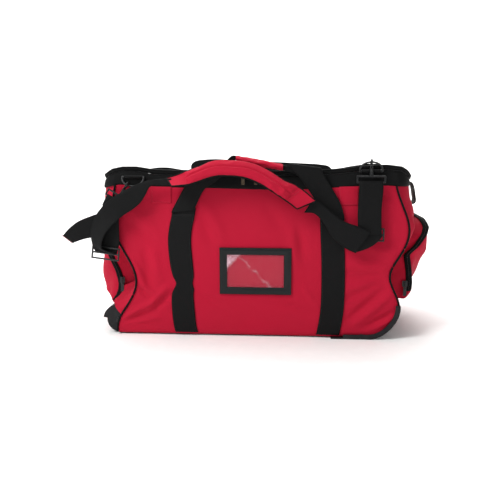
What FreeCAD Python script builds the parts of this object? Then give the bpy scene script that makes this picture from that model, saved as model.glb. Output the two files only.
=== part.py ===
"""Wheeled hockey equipment bag: a soft rectangular duffel with a zipped lid, two zipped end pockets,
two carry handles on webbing that runs round the body, a clip-on shoulder strap with a long pad, and
two wheels at the left end. One STEP file per sub-part, in millimetres.

Frame: +X along the bag's length (away from the wheels), +Z up, -Y to the front, where the card holder
is. The origin is on the underside of the base, in the middle of the body.
"""
import FreeCAD, Part
import math
import os

Vec = FreeCAD.Vector

# ---- driving dimensions -------------------------------------------------------------------------
DEPTH = 380.0            # body, front face to back face
FABRIC = 3.0             # a fabric panel with its lining
GAP = 0.2                # between pieces that lie on each other
WEB = 52.0               # width of the webbing
WEB_T = 2.6              # thickness of the webbing
FLOOR_Z = 5.2            # underside of the floor lining
COLLAR_Z = 342.0         # seam between the red panels and the black collar
COLLAR_TOP = 364.0
LID_Z = 368.0            # underside of the lid
LID_TOP = 376.0
WEB_X = {"left": -160.0, "right": 175.0}
STITCH_Z = 275.0         # where a handle leaves the webbing on the body
SKID_TOP = 78.0          # the skid guard climbs the right end to here
GUARD_TOP = 72.0         # and the guard between the wheels to here

HALF = DEPTH / 2
FRONT = -HALF            # outer face of the front panel
# The two ends of the slumped body, from the floor seam up to the collar seam, as X, Z.
LEFT_SIDE = [(-312, FLOOR_Z), (-309, 33), (-286, 72), (-266, 122), (-281, 174),
             (-309, 230), (-315, 290), (-308, COLLAR_Z)]
RIGHT_SIDE = [(240, FLOOR_Z), (297, 19), (325, 76), (303, 142), (331, 203),
              (342, 245), (326, 300), (311, COLLAR_Z)]

# How far each end swells beyond its corner seams, at the height of each point of the side curve
LEFT_SWELL = [0, 0, 0, 8, 16, 26, 36, 42]
RIGHT_SWELL = [0, 0, 0, 6, 14, 22, 34, 42]
# Sections of the swell, as shares of half the depth
STATIONS = (-1.0, -0.93, -0.75, -0.4, 0.0, 0.4, 0.75, 0.93, 1.0)

# Pockets on the ends
POCKET_Z = (86.0, 262.0)
POCKET_HALF_Y = 135.0
# Mouth of each pocket, seen from the front: x and z where its zipper runs, and how far the flap domes out
# from there in the middle
POCKET_MOUTH = {
    "left": [(-334, 86), (-318, 117), (-326, 146), (-341, 182), (-352, 218), (-360, 262)],
    "right": [(350, 86), (351, 121), (346, 160), (342, 186), (378, 216), (389, 240), (384, 262)],
}
POCKET_DOME = {"left": [0, 24, 36, 27, 14, 0], "right": [0, 8, 26, 36, 9, 3, 0]}
POCKET_SLIDER_Z = 117.0

# Wheels, in a housing at each left corner
WHEEL_X, WHEEL_Y = -312.0, 163.0
WHEEL_R, WHEEL_W = 31.0, 24.0
HUB_R, AXLE_R, BEARING_R, BEARING_W = 20.0, 4.0, 11.0, 7.0
HOUSING_R, HOUSING_WALL = 37.0, 3.0
HOUSING_HALF = 17.5      # half of its width
RUNNING = 0.05           # radial clearance of a bearing on its axle
INNER_CHEEK = WHEEL_Y - HOUSING_HALF           # the cheek that faces the middle of the bag

# Shoulder strap and its hardware
WIRE_R = 2.0
BAR_Y = FRONT - 5.4      # straight bar of a D-ring, in its tab
STRAP_Y = FRONT - 13.3   # the strap and its hooks hang in this plane


# ---- small helpers ------------------------------------------------------------------------------
def box(x, y, z):
    """A box from three (low, high) pairs."""
    return Part.makeBox(x[1] - x[0], y[1] - y[0], z[1] - z[0], Vec(x[0], y[0], z[0]))


def cylinder(radius, start, end):
    """A cylinder between two points."""
    a, b = Vec(*start), Vec(*end)
    return Part.makeCylinder(radius, (b - a).Length, a, b - a)


def tube(points, radius):
    """Round wire through points, with a ball at each inner corner."""
    shape = cylinder(radius, points[0], points[1])
    for a, b in zip(points[1:], points[2:]):
        shape = shape.fuse(Part.makeSphere(radius, Vec(*a))).fuse(cylinder(radius, a, b))
    return shape.removeSplitter()


def closed_tube(points, radius):
    """Round wire through points and back to the first."""
    return tube(points + points[:1], radius).fuse(Part.makeSphere(radius, Vec(*points[0]))).removeSplitter()


def spline(points):
    """A smooth curve in the XZ plane through (x, z) points, as a list of one edge."""
    curve = Part.BSplineCurve()
    curve.interpolate([Vec(x, 0, z) for x, z in points])
    return curve


def offset_points(points, distance):
    """The (x, z) points moved sideways by a distance: positive is towards +X on an upward curve."""
    curve, moved = spline(points), []
    for x, z in points:
        t = curve.tangent(curve.parameter(Vec(x, 0, z)))[0]
        moved.append((x + distance * t.z, z - distance * t.x))
    return moved


def swell_share(share):
    """How much of the swell there is at a share of half the depth: none at the seams."""
    return math.sqrt(max(0.0, 1 - share ** 4))


def face_xz(edges):
    return Part.Face(Part.Wire(Part.__sortEdges__(edges)))


def lines(points):
    corners = [Vec(x, 0, z) for x, z in points]
    return [Part.LineSegment(a, b).toShape() for a, b in zip(corners, corners[1:])]


def prism(edges, y):
    """A face in the XZ plane, extruded between two Y values."""
    face = face_xz(edges)
    face.translate(Vec(0, y[0], 0))
    return face.extrude(Vec(0, y[1] - y[0], 0))


def polygon(points, y):
    return prism(lines(points + points[:1]), y)


def strip(points, inner, outer, y):
    """A band between two offsets of a side curve, extruded along Y."""
    a, b = offset_points(points, inner), offset_points(points, outer)
    edges = [spline(a).toShape(), spline(b).toShape()] + lines([a[0], b[0]]) + lines([a[-1], b[-1]])
    return prism(edges, y)


def trimmed(shape, low, high):
    """The part of a shape between two heights."""
    return shape.common(box((-600, 600), (-300, 300), (low, high)))


def swelled(side, share):
    """The side curve's points at a share of half the depth."""
    points, swell = (LEFT_SIDE, LEFT_SWELL) if side == "left" else (RIGHT_SIDE, RIGHT_SWELL)
    return [(x + sign(side) * amount * swell_share(share), z) for (x, z), amount in zip(points, swell)]


def lofted_band(sections, inner, outer, half_depth):
    """A band between two offsets of a side curve, lofted through the curve's sections from front to back."""
    wires = []
    for share in STATIONS:
        points = sections(share)
        a, b = offset_points(points, inner), offset_points(points, outer)
        edges = [spline(a).toShape(), spline(b).toShape()] + lines([a[0], b[0]]) + lines([a[-1], b[-1]])
        wire = Part.Wire(Part.__sortEdges__(edges))
        wire.translate(Vec(0, share * half_depth, 0))
        wires.append(wire)
    return Part.makeLoft(wires, True)


def swelled_band(side, inner, outer, half_depth):
    """A band between two offsets of an end's side curve, with the end's swell."""
    return lofted_band(lambda share: swelled(side, share), inner, outer, half_depth)


def plan_outline(inset):
    """The rim seen from above, inset from its outer edge, as a face at z = 0."""
    ends = []
    for side in ("left", "right"):
        points = [Vec(swelled(side, share)[-1][0] - sign(side) * inset, share * (HALF - inset), 0)
                  for share in STATIONS]
        curve = Part.BSplineCurve()
        curve.interpolate(points)
        ends.append((curve, points))
    (left, left_points), (right, right_points) = ends
    joins = [Part.LineSegment(a, b).toShape() for a, b in
             ((left_points[0], right_points[0]), (left_points[-1], right_points[-1]))]
    return Part.Face(Part.Wire(Part.__sortEdges__([left.toShape(), right.toShape()] + joins)))


def rim(inset, z):
    """The plan outline as a slab between two heights."""
    face = plan_outline(inset)
    face.translate(Vec(0, 0, z[0]))
    return face.extrude(Vec(0, 0, z[1] - z[0]))


def fuse(shapes):
    whole = shapes[0]
    for s in shapes[1:]:
        whole = whole.fuse(s)
    return whole.removeSplitter()


def cut(shape, *tools):
    for t in tools:
        shape = shape.cut(t)
    return shape


def both_ends(shape):
    """The shape and its mirror image across the XZ plane."""
    return [shape, shape.mirror(Vec(0, 0, 0), Vec(0, 1, 0))]


def sign(side):
    return -1 if side == "left" else 1


nodes = {}


def keep(name, *solids):
    found = [s for shape in solids for s in shape.Solids]
    nodes[name] = found[0] if len(found) == 1 else Part.makeCompound(found)


# ---- body panels --------------------------------------------------------------------------------
def body_outline():
    """The front view of the body, between its two slumped ends."""
    top = [LEFT_SIDE[-1], RIGHT_SIDE[-1]]
    bottom = [LEFT_SIDE[0], RIGHT_SIDE[0]]
    return [spline(LEFT_SIDE).toShape(), spline(RIGHT_SIDE).toShape()] + lines(top) + lines(bottom)


def wheel_well():
    """The room that the two housings take out of the left end."""
    inner = INNER_CHEEK - 3.3
    return both_ends(box((-365, WHEEL_X + HOUSING_R + GAP), (-HALF + FABRIC, -inner), (0, 68.2)))


def panels():
    inside = (FRONT + FABRIC + GAP, HALF - FABRIC - GAP)
    keep("front_panel", prism(body_outline(), (FRONT, FRONT + FABRIC)))
    keep("back_panel", prism(body_outline(), (HALF - FABRIC, HALF)))
    keep("left_end_panel", cut(swelled_band("left", 0, FABRIC, inside[1]), *wheel_well()))
    keep("right_end_panel", swelled_band("right", 0, -FABRIC, inside[1]))


def base():
    """The black base with its stiffener, the skid guard at the right and the guard between the wheels."""
    inside = (FRONT + FABRIC + GAP, HALF - FABRIC - GAP)
    lining = box((LEFT_SIDE[0][0] + FABRIC + GAP, RIGHT_SIDE[0][0] - GAP), inside, (FLOOR_Z, FLOOR_Z + 2.5))
    board = box((-255, 225), (-178, 178), (8, 12))
    board = board.makeFillet(20, [e for e in board.Edges if abs(e.tangentAt(0).z) > 0.9])
    panel = box((-232, 174), (FRONT - 3, HALF + 3), (0, 2))

    skid_y = (FRONT - 6.4, HALF + 6.4)
    plate_end = RIGHT_SIDE[0][0] + 8
    plate = box((176, plate_end), skid_y, (0, 2))
    skid = [plate, trimmed(strip(RIGHT_SIDE, 0.5, 3.7, skid_y), 0, SKID_TOP)]
    for lip_y in ((skid_y[0], FRONT - 3.1), (HALF + 3.1, skid_y[1])):
        lip = trimmed(strip(RIGHT_SIDE, -7.0, 3.7, lip_y), 0, SKID_TOP)
        skid += [box((203, plate_end - 6), lip_y, (0, 10)), lip]

    guard_half = INNER_CHEEK - 3.6
    guard_y = (-guard_half, guard_half)
    guard = [box((-317, -234), guard_y, (0, 2)), box((-317, -314), guard_y, (0, FLOOR_Z + 2)),
             trimmed(strip(LEFT_SIDE, -0.9, -3.9, guard_y), 0, GUARD_TOP)]

    rivets, holes = [], []
    for x, rows in ((-244, (-120, -40, 40, 120)), (212, (-120, -40, 40, 120))):
        for y in rows:
            shank, head = cylinder(2.0, (x, y, 0.2), (x, y, 12.3)), cylinder(4.5, (x, y, 12.2), (x, y, 13.6))
            rivets.append(fuse([shank, head]))
            holes.append(cylinder(2.1, (x, y, -1), (x, y, 12.05)))
    keep("floor_lining", cut(lining, *wheel_well(), *holes))
    keep("base_board", cut(board, *holes))
    keep("base_panel", panel)
    keep("skid_guard", cut(fuse(skid), *holes))
    keep("end_guard", cut(fuse(guard), *holes))
    keep("base_rivets", *rivets)


def collar():
    """The black band round the top, with the fixed half of the lid's zipper on its rim."""
    z = (COLLAR_Z + GAP, COLLAR_TOP)
    keep("top_collar", rim(0, z).cut(rim(FABRIC, (z[0] - 1, z[1] + 1))))
    keep("collar_zipper_chain", zipper_rim(COLLAR_TOP + GAP, COLLAR_TOP + 1.9))


def zipper_rim(low, high):
    """Half of the lid's zipper: left end, front and right end, open at the back."""
    ring = rim(0, (low, high)).cut(rim(2.6, (low - 1, high + 1)))
    return ring.cut(box((-500, 500), (HALF - 24, HALF + 1), (low - 1, high + 1)))


def lid():
    """The lid, a shallow tray turned upside down, hinged along the back."""
    tray = rim(0, (LID_Z, LID_TOP)).cut(rim(5, (LID_Z - 1, LID_TOP - 3)))
    back_edge = box((-500, 500), (HALF - 4, HALF + 1), (LID_Z - 1, LID_TOP + 1))
    back_wall = rim(4, (LID_Z, LID_TOP)).common(box((-500, 500), (HALF - 9, HALF - 4), (LID_Z, LID_TOP)))
    keep("lid_panel", fuse([tray.cut(back_edge), back_wall]))
    keep("lid_zipper_chain", zipper_rim(LID_Z - 1.9, LID_Z - GAP))


def seams():
    """Piping down the four long edges, and two stitched patches below the collar."""
    piping = []
    for points, inner in ((LEFT_SIDE, -0.5), (RIGHT_SIDE, 0.5)):
        outer = inner * 9
        rib = strip(points, inner, outer, (FRONT - 2, FRONT + 3))
        piping += both_ends(trimmed(rib, SKID_TOP + 0.4, COLLAR_Z))
    keep("seam_piping", *piping)
    patch = [box((x, x + 44), (FRONT - 1.0, FRONT - GAP), (302, 337)) for x in (-225, 189)]
    keep("stitched_patches", *patch)


def body_webbing():
    """Two bands of webbing: down the front, under the floor and up the back."""
    face = (FRONT - GAP - WEB_T, FRONT - GAP)
    for side, x in WEB_X.items():
        span = (x - WEB / 2, x + WEB / 2)
        legs = both_ends(box(span, face, (2.3, STITCH_Z + 10)))
        under = box(span, (face[0], -face[0]), (2.3, 2.3 + WEB_T))
        keep(f"body_web_{side}", fuse(legs + [under]))


def card_holder():
    """A clear window in a vinyl frame, sewn to the front panel."""
    outer_x, outer_z = (-75, 86), (99, 205)
    window_x, window_z = (-58, 69), (115.5, 189)
    frame = box(outer_x, (FRONT - 2.6, FRONT - 1.1), outer_z)
    frame = frame.makeFillet(3, [e for e in frame.Edges if abs(e.tangentAt(0).y) > 0.9])
    opening = box(window_x, (FRONT - 4, FRONT), window_z)
    sheet = box((window_x[0] - 8, window_x[1] + 8), (FRONT - 0.95, FRONT - 0.25),
                (window_z[0] - 8, window_z[1] + 8))
    keep("card_frame", frame.cut(opening))
    keep("card_window", sheet)


# ---- handles ------------------------------------------------------------------------------------
def tilt_front(shape, degrees, y, z):
    """Leans a shape outwards, about a line along X."""
    shape.rotate(Vec(0, y, z), Vec(1, 0, 0), degrees)
    return shape


def front_handle():
    """The legs lie on the bag up to the top edge; the arch and its wrap fold over that edge."""
    y = (FRONT - 6.0, FRONT - 3.4)
    arch_y = (FRONT - 13.3, FRONT - 10.7)
    left = polygon([(-186, 266), (-134, 266), (-134, 284), (-74, 364), (-136, 364), (-186, 284)], y)
    right = polygon([(149, 266), (201, 266), (193, 290), (143, 364), (82, 364), (143, 284)], y)
    keep("front_handle_legs", *[tilt_front(s, 3.8, FRONT - 4.7, 266) for s in (left, right)])

    arch = polygon([(-128, 368), (-78, 368), (-40, 390), (-35, 391), (65, 384), (70, 382), (88, 368), (138, 368),
                    (90, 394), (65, 397), (-35, 407), (-52, 405), (-84, 393)], arch_y)
    wrap = box((-51, 51), (FRONT - 23, FRONT - 1), (-12, 12))
    wrap = wrap.makeFillet(8, [e for e in wrap.Edges if abs(e.tangentAt(0).x) > 0.9])
    wrap.rotate(Vec(0, 0, 0), Vec(0, 1, 0), 5)
    wrap.translate(Vec(15, 0, 394.5))
    keep("front_handle_web", arch)
    keep("handle_wrap", wrap.cut(arch))


def rear_handle():
    """One loop of webbing, from the stitching on the back up to a low arch."""
    y = (HALF + 3.4, HALF + 6.0)
    outer = [(-186, 266), (-134, 266), (-130, 335), (-98, 350), (95, 345), (140, 330), (149, 266), (201, 266),
             (196, 366), (165, 386), (-115, 396), (-178, 393), (-196, 372)]
    keep("rear_handle_web", tilt_front(polygon(outer, y), -7, HALF + 4.7, 266))


def grab_loops():
    """A loop of webbing that hangs from the collar seam at each end, along the slope of the end."""
    reach, drop = 9.5, 56.0
    for side, top_x, slope in (("left", -361.5, 4.0), ("right", 365.5, -15.0)):
        loop = box((-reach, reach), (-25, 25), (-drop, 0))
        loop = loop.makeFillet(8.5, [e for e in loop.Edges if abs(e.tangentAt(0).y) > 0.9])
        hole = box((-reach + WEB_T, reach - WEB_T), (-26, 26), (-drop + WEB_T, -WEB_T))
        hole = hole.makeFillet(6, [e for e in hole.Edges if abs(e.tangentAt(0).y) > 0.9])
        loop = loop.cut(hole)
        loop.rotate(Vec(0, 0, 0), Vec(0, 1, 0), slope)
        loop.translate(Vec(top_x, 0, 346))
        keep(f"grab_loop_{side}", loop)


# ---- end pockets --------------------------------------------------------------------------------
def arch_face(x, grow):
    """The pocket's outline seen from the end: round shoulders, small corners at the bottom."""
    half, low, high = POCKET_HALF_Y + grow, POCKET_Z[0] - grow, POCKET_Z[1] + grow
    r = 70 + grow
    c = math.sqrt(0.5)
    near, down = half - r * (1 - c), high - r * (1 - c)
    left_arc = Part.Arc(Vec(x, -half, high - r), Vec(x, -near, down), Vec(x, -half + r, high))
    right_arc = Part.Arc(Vec(x, half - r, high), Vec(x, near, down), Vec(x, half, high - r))
    corners = [Vec(x, -half, high - r), Vec(x, -half, low), Vec(x, half, low), Vec(x, half, high - r)]
    edges = [Part.LineSegment(a, b).toShape() for a, b in zip(corners, corners[1:])]
    edges.append(Part.LineSegment(Vec(x, -half + r, high), Vec(x, half - r, high)).toShape())
    return Part.Face(Part.Wire(Part.__sortEdges__(edges + [left_arc.toShape(), right_arc.toShape()])))


def arch_ring(x, inner, outer):
    """The arch's outline as a wall between two offsets, between two X values."""
    low, high = min(x), max(x)
    grown = arch_face(low, outer).extrude(Vec(high - low, 0, 0))
    return grown.cut(arch_face(low - 1, inner).extrude(Vec(high - low + 2, 0, 0)))


def body_block():
    """Everything inside the end panels' outer faces, a little oversize."""
    return fuse([swelled_band(side, sign(side) * GAP, -sign(side) * 60, HALF) for side in ("left", "right")])


def pocket_band(side, near, far):
    """A layer of the pocket's domed face, between two distances outwards from its mouth's surface."""
    s = sign(side)

    def section(share):
        dome = swell_share(share)
        return [(x + s * d * dome, z) for (x, z), d in zip(POCKET_MOUTH[side], POCKET_DOME[side])]

    return lofted_band(section, s * near, s * far, POCKET_HALF_Y + 3)


def pockets():
    """Each end's pocket: a gusset from the end panel to the mouth, a zipper outside it and a domed flap."""
    block = body_block()
    clear_low = box((-500, 500), (-200, 200), (0, POCKET_Z[0] + 2))
    clear_zip = box((-500, 500), (-200, 200), (0, POCKET_Z[0] + 14))
    for side, mouth in POCKET_MOUTH.items():
        s = sign(side)
        inside = min(s * x for x, z in (LEFT_SIDE if side == "left" else RIGHT_SIDE) if POCKET_Z[0] < z)
        across = (s * (inside + 3), s * 420)
        gusset = arch_ring(across, -2.5, 0).common(pocket_band(side, -90, -0.4)).cut(block)
        keep(f"{side}_pocket_gusset", max(gusset.Solids, key=lambda solid: solid.Volume))
        zipper = arch_ring(across, 0.3, 1.6).common(pocket_band(side, -9, -0.5)).cut(clear_zip)
        keep(f"{side}_pocket_zipper", max(zipper.Solids, key=lambda solid: solid.Volume))
        face = arch_face(min(across), 0).extrude(Vec(abs(across[1] - across[0]), 0, 0))
        flap = face.common(pocket_band(side, 0.8, 3.5)).cut(clear_low)
        keep(f"{side}_pocket_flap", max(flap.Solids, key=lambda solid: solid.Volume))
        mouth_x = next(x for x, z in mouth if z >= POCKET_SLIDER_Z)
        slider, pull = zip_slider(mouth_x - 5 * s, -POCKET_HALF_Y - 1.9, POCKET_SLIDER_Z, 28.0)
        keep(f"{side}_pocket_slider", slider)
        keep(f"{side}_pocket_pull", pull)


def zip_slider(x, y, z, length):
    """A slider whose back is at y, and the pull that hangs from the crown on its face.

    The pull's slot lets the crown through, and its top bar turns under the crown."""
    body = box((x - 6, x + 6), (y - 2, y), (z - 7, z + 7))
    body = body.makeFillet(2, [e for e in body.Edges if abs(e.tangentAt(0).y) > 0.9])
    face, crown = y - 2, y - 5.6
    posts = [box((x - 0.9, x + 0.9), (crown, face + 0.1), (z + h, z + h + 1.4)) for h in (-6.4, 5.0)]
    bridge = box((x - 0.9, x + 0.9), (crown, crown + 0.8), (z - 6.4, z + 6.4))
    mid = (face + crown + 0.8) / 2
    tongue = box((x - 3.6, x + 3.6), (mid - 0.6, mid + 0.6), (z - length, z + 0.9))
    tongue = tongue.makeFillet(0.9, [e for e in tongue.Edges if abs(e.tangentAt(0).y) > 0.9])
    slot = box((x - 1.7, x + 1.7), (mid - 2, mid + 2), (z - 8.2, z - 0.9))
    return fuse([body, bridge] + posts), tongue.cut(slot)


# ---- main zipper's sliders ----------------------------------------------------------------------
def main_sliders():
    """Two sliders that meet near the middle of the front rim."""
    for side, x in (("left", -22.0), ("right", 6.0)):
        slider, pull = zip_slider(x, FRONT - 0.6, (COLLAR_TOP + LID_Z) / 2, 21.0)
        keep(f"main_slider_{side}", slider)
        keep(f"main_pull_{side}", pull)


# ---- wheels -------------------------------------------------------------------------------------
def wheel_housing(y):
    """A moulded corner cup: two cheeks, a round roof and a back wall, open at the bottom and outside."""
    axis = Vec(0, 1, 0)
    low = y - HOUSING_HALF
    width = 2 * HOUSING_HALF
    z = WHEEL_R

    def disc(radius, start, length):
        return Part.makeCylinder(radius, length, Vec(WHEEL_X, start, z), axis)

    sector = polygon([(WHEEL_X, z), (WHEEL_X - 60, z + 10), (WHEEL_X - 60, z + 60), (WHEEL_X, z + 60)],
                     (low, low + width))
    block = box((WHEEL_X, WHEEL_X + HOUSING_R), (low, low + width), (8, z + HOUSING_R))
    shell = fuse([disc(HOUSING_R, low, width).common(sector), block, disc(27, low, width)])
    shell = shell.cut(box((-400, -200), (low - 1, low + width + 1), (-50, 8)))
    wall = HOUSING_WALL
    hollow_y, hollow_w = low + wall, width - 2 * wall
    hollow = disc(HOUSING_R - wall, hollow_y, hollow_w).fuse(
        box((WHEEL_X, WHEEL_X + HOUSING_R - wall), (hollow_y, hollow_y + hollow_w), (-1, z + HOUSING_R - wall)))
    bore = disc(AXLE_R + 0.02, low - 1, width + 2)
    return shell.cut(hollow).cut(bore)


def wheel(y, place):
    """Tyre, hub and two ball bearings, on an axle held in the housing's cheeks."""
    axis = Vec(0, 1, 0)

    def disc(radius, half):
        return Part.makeCylinder(radius, 2 * half, Vec(WHEEL_X, y - half, WHEEL_R), axis)

    tyre = disc(WHEEL_R, WHEEL_W / 2)
    tyre = tyre.makeFillet(6, [e for e in tyre.Edges if e.Curve.TypeId == "Part::GeomCircle"])
    keep(f"wheel_{place}_tyre", tyre.cut(disc(HUB_R, WHEEL_W)))
    hub = disc(HUB_R, 10).cut(disc(7, 20))
    hub = hub.cut(disc(BEARING_R, 20).cut(disc(BEARING_R + 1, 10 - BEARING_W)))
    recess = disc(17, 20).cut(disc(BEARING_R + 2.5, 21)).cut(disc(18, 7))
    keep(f"wheel_{place}_hub", hub.cut(recess))
    bearing = disc(BEARING_R, 10).cut(disc(AXLE_R + RUNNING, 11)).cut(disc(BEARING_R + 1, 10 - BEARING_W))
    keep(f"wheel_{place}_bearings", bearing)


def wheels():
    axles = []
    for place, y in (("front", -WHEEL_Y), ("back", WHEEL_Y)):
        keep(f"wheel_housing_{place}", wheel_housing(y))
        wheel(y, place)
        reach = HOUSING_HALF + 0.1
        ends = [cylinder(6.5, (WHEEL_X, y - reach - 2, WHEEL_R), (WHEEL_X, y - reach, WHEEL_R)),
                cylinder(6.5, (WHEEL_X, y + reach, WHEEL_R), (WHEEL_X, y + reach + 2, WHEEL_R))]
        shaft = cylinder(AXLE_R, (WHEEL_X, y - reach - 1, WHEEL_R), (WHEEL_X, y + reach + 1, WHEEL_R))
        axles.append(fuse([shaft] + ends))
    keep("wheel_axles", *axles)


# ---- shoulder strap -----------------------------------------------------------------------------
RING_X = {"left": -266.0, "right": 255.0}
BAR_Z = {"left": 362.0, "right": 375.0}
RING_HALF, RING_REACH = 24.0, 22.0
RING_LEAN = {"left": -22.0, "right": 24.0}     # degrees about the bar, so that the ring stands off the bag
HOOK_LEAN = {"left": 32.0, "right": 0.0}       # degrees that the hook leans out to its side


def d_ring(side):
    """A D of round wire: hanging from its tab on the left, standing up on the right."""
    x, z, s = RING_X[side], BAR_Z[side], sign(side)
    steps = 12
    bow = [(x + RING_HALF * math.cos(math.pi * i / steps), BAR_Y,
            z + s * (4 + (RING_REACH - 4) * math.sin(math.pi * i / steps))) for i in range(steps + 1)]
    ring = closed_tube([(x - RING_HALF, BAR_Y, z), (x + RING_HALF, BAR_Y, z)] + bow, WIRE_R)
    return tilt_front(ring, RING_LEAN[side], BAR_Y, z)


def ring_tab(side):
    """A fold of webbing round the D-ring's bar, sewn to the collar."""
    x, z = RING_X[side], BAR_Z[side]
    span = (x - 20, x + 20)
    plate = box(span, (FRONT - GAP - WEB_T, FRONT - GAP), (344, z))
    fold = cylinder(4.0, (span[0], BAR_Y, z), (span[1], BAR_Y, z))
    bar = cylinder(WIRE_R + 0.4, (span[0] - 1, BAR_Y, z), (span[1] + 1, BAR_Y, z))
    room = box((x - 30, x + 30), (FRONT - GAP, 0), (300, 400))
    return fuse([plate, fold]).cut(bar).cut(room)


def place_hook(shape, side, eye):
    """Moves a piece from the hook's own axes, with its eye at the origin, to its place."""
    shape.rotate(Vec(0, 0, 0), Vec(0, 1, 0), HOOK_LEAN[side])
    shape.translate(Vec(*eye))
    return shape


EYE = {"left": (-280.0, STRAP_Y - 0.2, 342.2), "right": (255.0, STRAP_Y - 0.9, 391.6)}
EYE_R, EYE_WIRE = 8.0, 2.2
LOOP_TOP, LOOP_LOW, LOOP_HALF = -27.0, -40.0, 29.5


def hook_body():
    """A snap hook: an open eye in the YZ plane, its shank and the swivel's barrel."""
    eye = Part.makeTorus(EYE_R, EYE_WIRE, Vec(0, 0, 0), Vec(1, 0, 0))
    mouth = box((-4, 4), (-14, 0), (-4.5, 4.5))
    shank = Part.makeCone(3.2, 3.9, 10, Vec(0, 0, -18), Vec(0, 0, 1)).cut(
        Part.makeCylinder(EYE_R - EYE_WIRE, 20, Vec(-10, 0, 0), Vec(1, 0, 0)))
    barrel = cylinder(4.0, (0, 0, -24.5), (0, 0, -17.9))
    return fuse([eye.cut(mouth), shank, barrel])


def hook_gate():
    """The sprung gate that closes the hook's mouth, with a ball at its pivot."""
    y = -EYE_R + 0.2
    return fuse([cylinder(1.5, (0, y, -2.7), (0, y, 4.0)), Part.makeSphere(1.5, Vec(0, y, -2.7))])


def swivel_loop():
    """The rectangular loop that takes the webbing, with its swivel post."""
    top, low, half = LOOP_TOP, LOOP_LOW, LOOP_HALF
    frame = closed_tube([(-half, 0, top), (half, 0, top), (half, 0, low), (-half, 0, low)], WIRE_R)
    return fuse([frame, cylinder(3.0, (0, 0, top), (0, 0, -24.6))])


def strap_slide(centre, turn):
    """A flat wire slide: a rectangle with a bar across its middle."""
    w, h = 30.0, 13.0
    frame = closed_tube([(-w, 0, -h), (w, 0, -h), (w, 0, h), (-w, 0, h)], WIRE_R)
    shape = fuse([frame, cylinder(WIRE_R, (-w, 0, 0), (w, 0, 0))])
    shape.rotate(Vec(0, 0, 0), Vec(0, 1, 0), turn)
    shape.translate(Vec(*centre))
    return shape


def strap_hardware():
    keep("d_rings", d_ring("left"), d_ring("right"))
    keep("ring_tabs", ring_tab("left"), ring_tab("right"))
    keep("snap_hooks", *[place_hook(hook_body(), s, EYE[s]) for s in EYE])
    keep("swivel_loops", *[place_hook(swivel_loop(), s, EYE[s]) for s in EYE])
    for side in EYE:
        keep(f"hook_gate_{side}", place_hook(hook_gate(), side, EYE[side]))


def strap_ends():
    """The ends of the strap: from each swivel loop to its slide, the loose tail and the fold at the right."""
    x, y, top = EYE["right"]
    bar_z, slide_z = top + LOOP_LOW, 238.0
    span = (x - WEB / 2, x + WEB / 2)

    def stadium(radius, grow):
        ends = [cylinder(radius, (span[0] - grow, y, z), (span[1] + grow, y, z)) for z in (bar_z, slide_z)]
        run = box((span[0] - grow, span[1] + grow), (y - radius, y + radius), (slide_z, bar_z))
        return fuse(ends + [run])

    doubled = stadium(5.0, 0).cut(stadium(2.4, 1))
    fold = polygon([(210, 198), (237, 238), (281, 238), (281, 226), (250, 204)], (y - 7.4, y - 4.8))
    keep("strap_end_right", fuse([doubled, fold]))

    y = EYE["left"][1]
    lean = math.radians(HOOK_LEAN["left"])
    reach = -LOOP_LOW + WIRE_R + 1.0
    bar = (EYE["left"][0] - reach * math.sin(lean), EYE["left"][2] - reach * math.cos(lean))
    c, s = math.cos(lean) * WEB / 2, math.sin(lean) * WEB / 2
    left_end = polygon([(bar[0] - c, bar[1] + s), (bar[0] + c, bar[1] - s), (-299, 240), (-305, 205.5),
                        (-356, 212), (-352, 262)], (y - 4, y + 1.5))
    tail = polygon([(-352, 226), (-345, 281), (-391, 263), (-430, 230), (-406, 212)], (y + 1.4, y + 4.0))
    keep("strap_end_left", fuse([left_end, tail]))
    right_slide = strap_slide((x, EYE["right"][1], slide_z), 0)
    keep("strap_slides", right_slide, strap_slide((-331, y - 1.2, 191.0), 7))


def shoulder_strap():
    """The long run of the strap and its pad, lying against the front."""
    y = (STRAP_Y - 12.6, STRAP_Y - 10.0)
    left = polygon([(-362, 212), (-331, 212), (-316, 252), (-245, 311), (-222, 343), (-196, 345), (-196, 372),
                    (-262, 350), (-326, 316), (-348, 281), (-366, 232)], y)
    right = polygon([(104, 268), (136, 301), (236, 238), (208, 198)], y)
    keep("shoulder_web", left, right)
    arc_in = Part.Arc(Vec(-185, 0, 346), Vec(-22, 0, 364), Vec(94, 0, 280)).toShape()
    arc_out = Part.Arc(Vec(-196, 0, 372), Vec(-22, 0, 400), Vec(126, 0, 312)).toShape()
    ends = lines([(-185, 346), (-196, 372)]) + lines([(94, 280), (126, 312)])
    pad = prism([arc_in, arc_out] + ends, (STRAP_Y - 33, STRAP_Y - 12.6))
    pad = pad.makeFillet(6, [e for e in pad.Edges if e.Curve.TypeId == "Part::GeomCircle"])
    keep("shoulder_pad", pad)


def write():
    os.makedirs("parts", exist_ok=True)
    for name, shape in sorted(nodes.items()):
        bad = [s for s in shape.Solids if not s.isValid() or s.Volume <= 0]
        print(f"{name:26s} {len(shape.Solids)} solids {shape.Volume / 1000:9.2f} cm3 {'BAD' if bad else ''}")
        shape.exportStep(f"parts/{name}.step")
    print(len(nodes), "nodes")


for make in (panels, base, collar, lid, seams, body_webbing, card_holder, front_handle, rear_handle,
             grab_loops, pockets, main_sliders, wheels, strap_hardware, strap_ends, shoulder_strap):
    make()
write()
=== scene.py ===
import math

import bpy
import numpy as np
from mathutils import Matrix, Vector, noise
from mathutils.bvhtree import BVHTree


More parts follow.
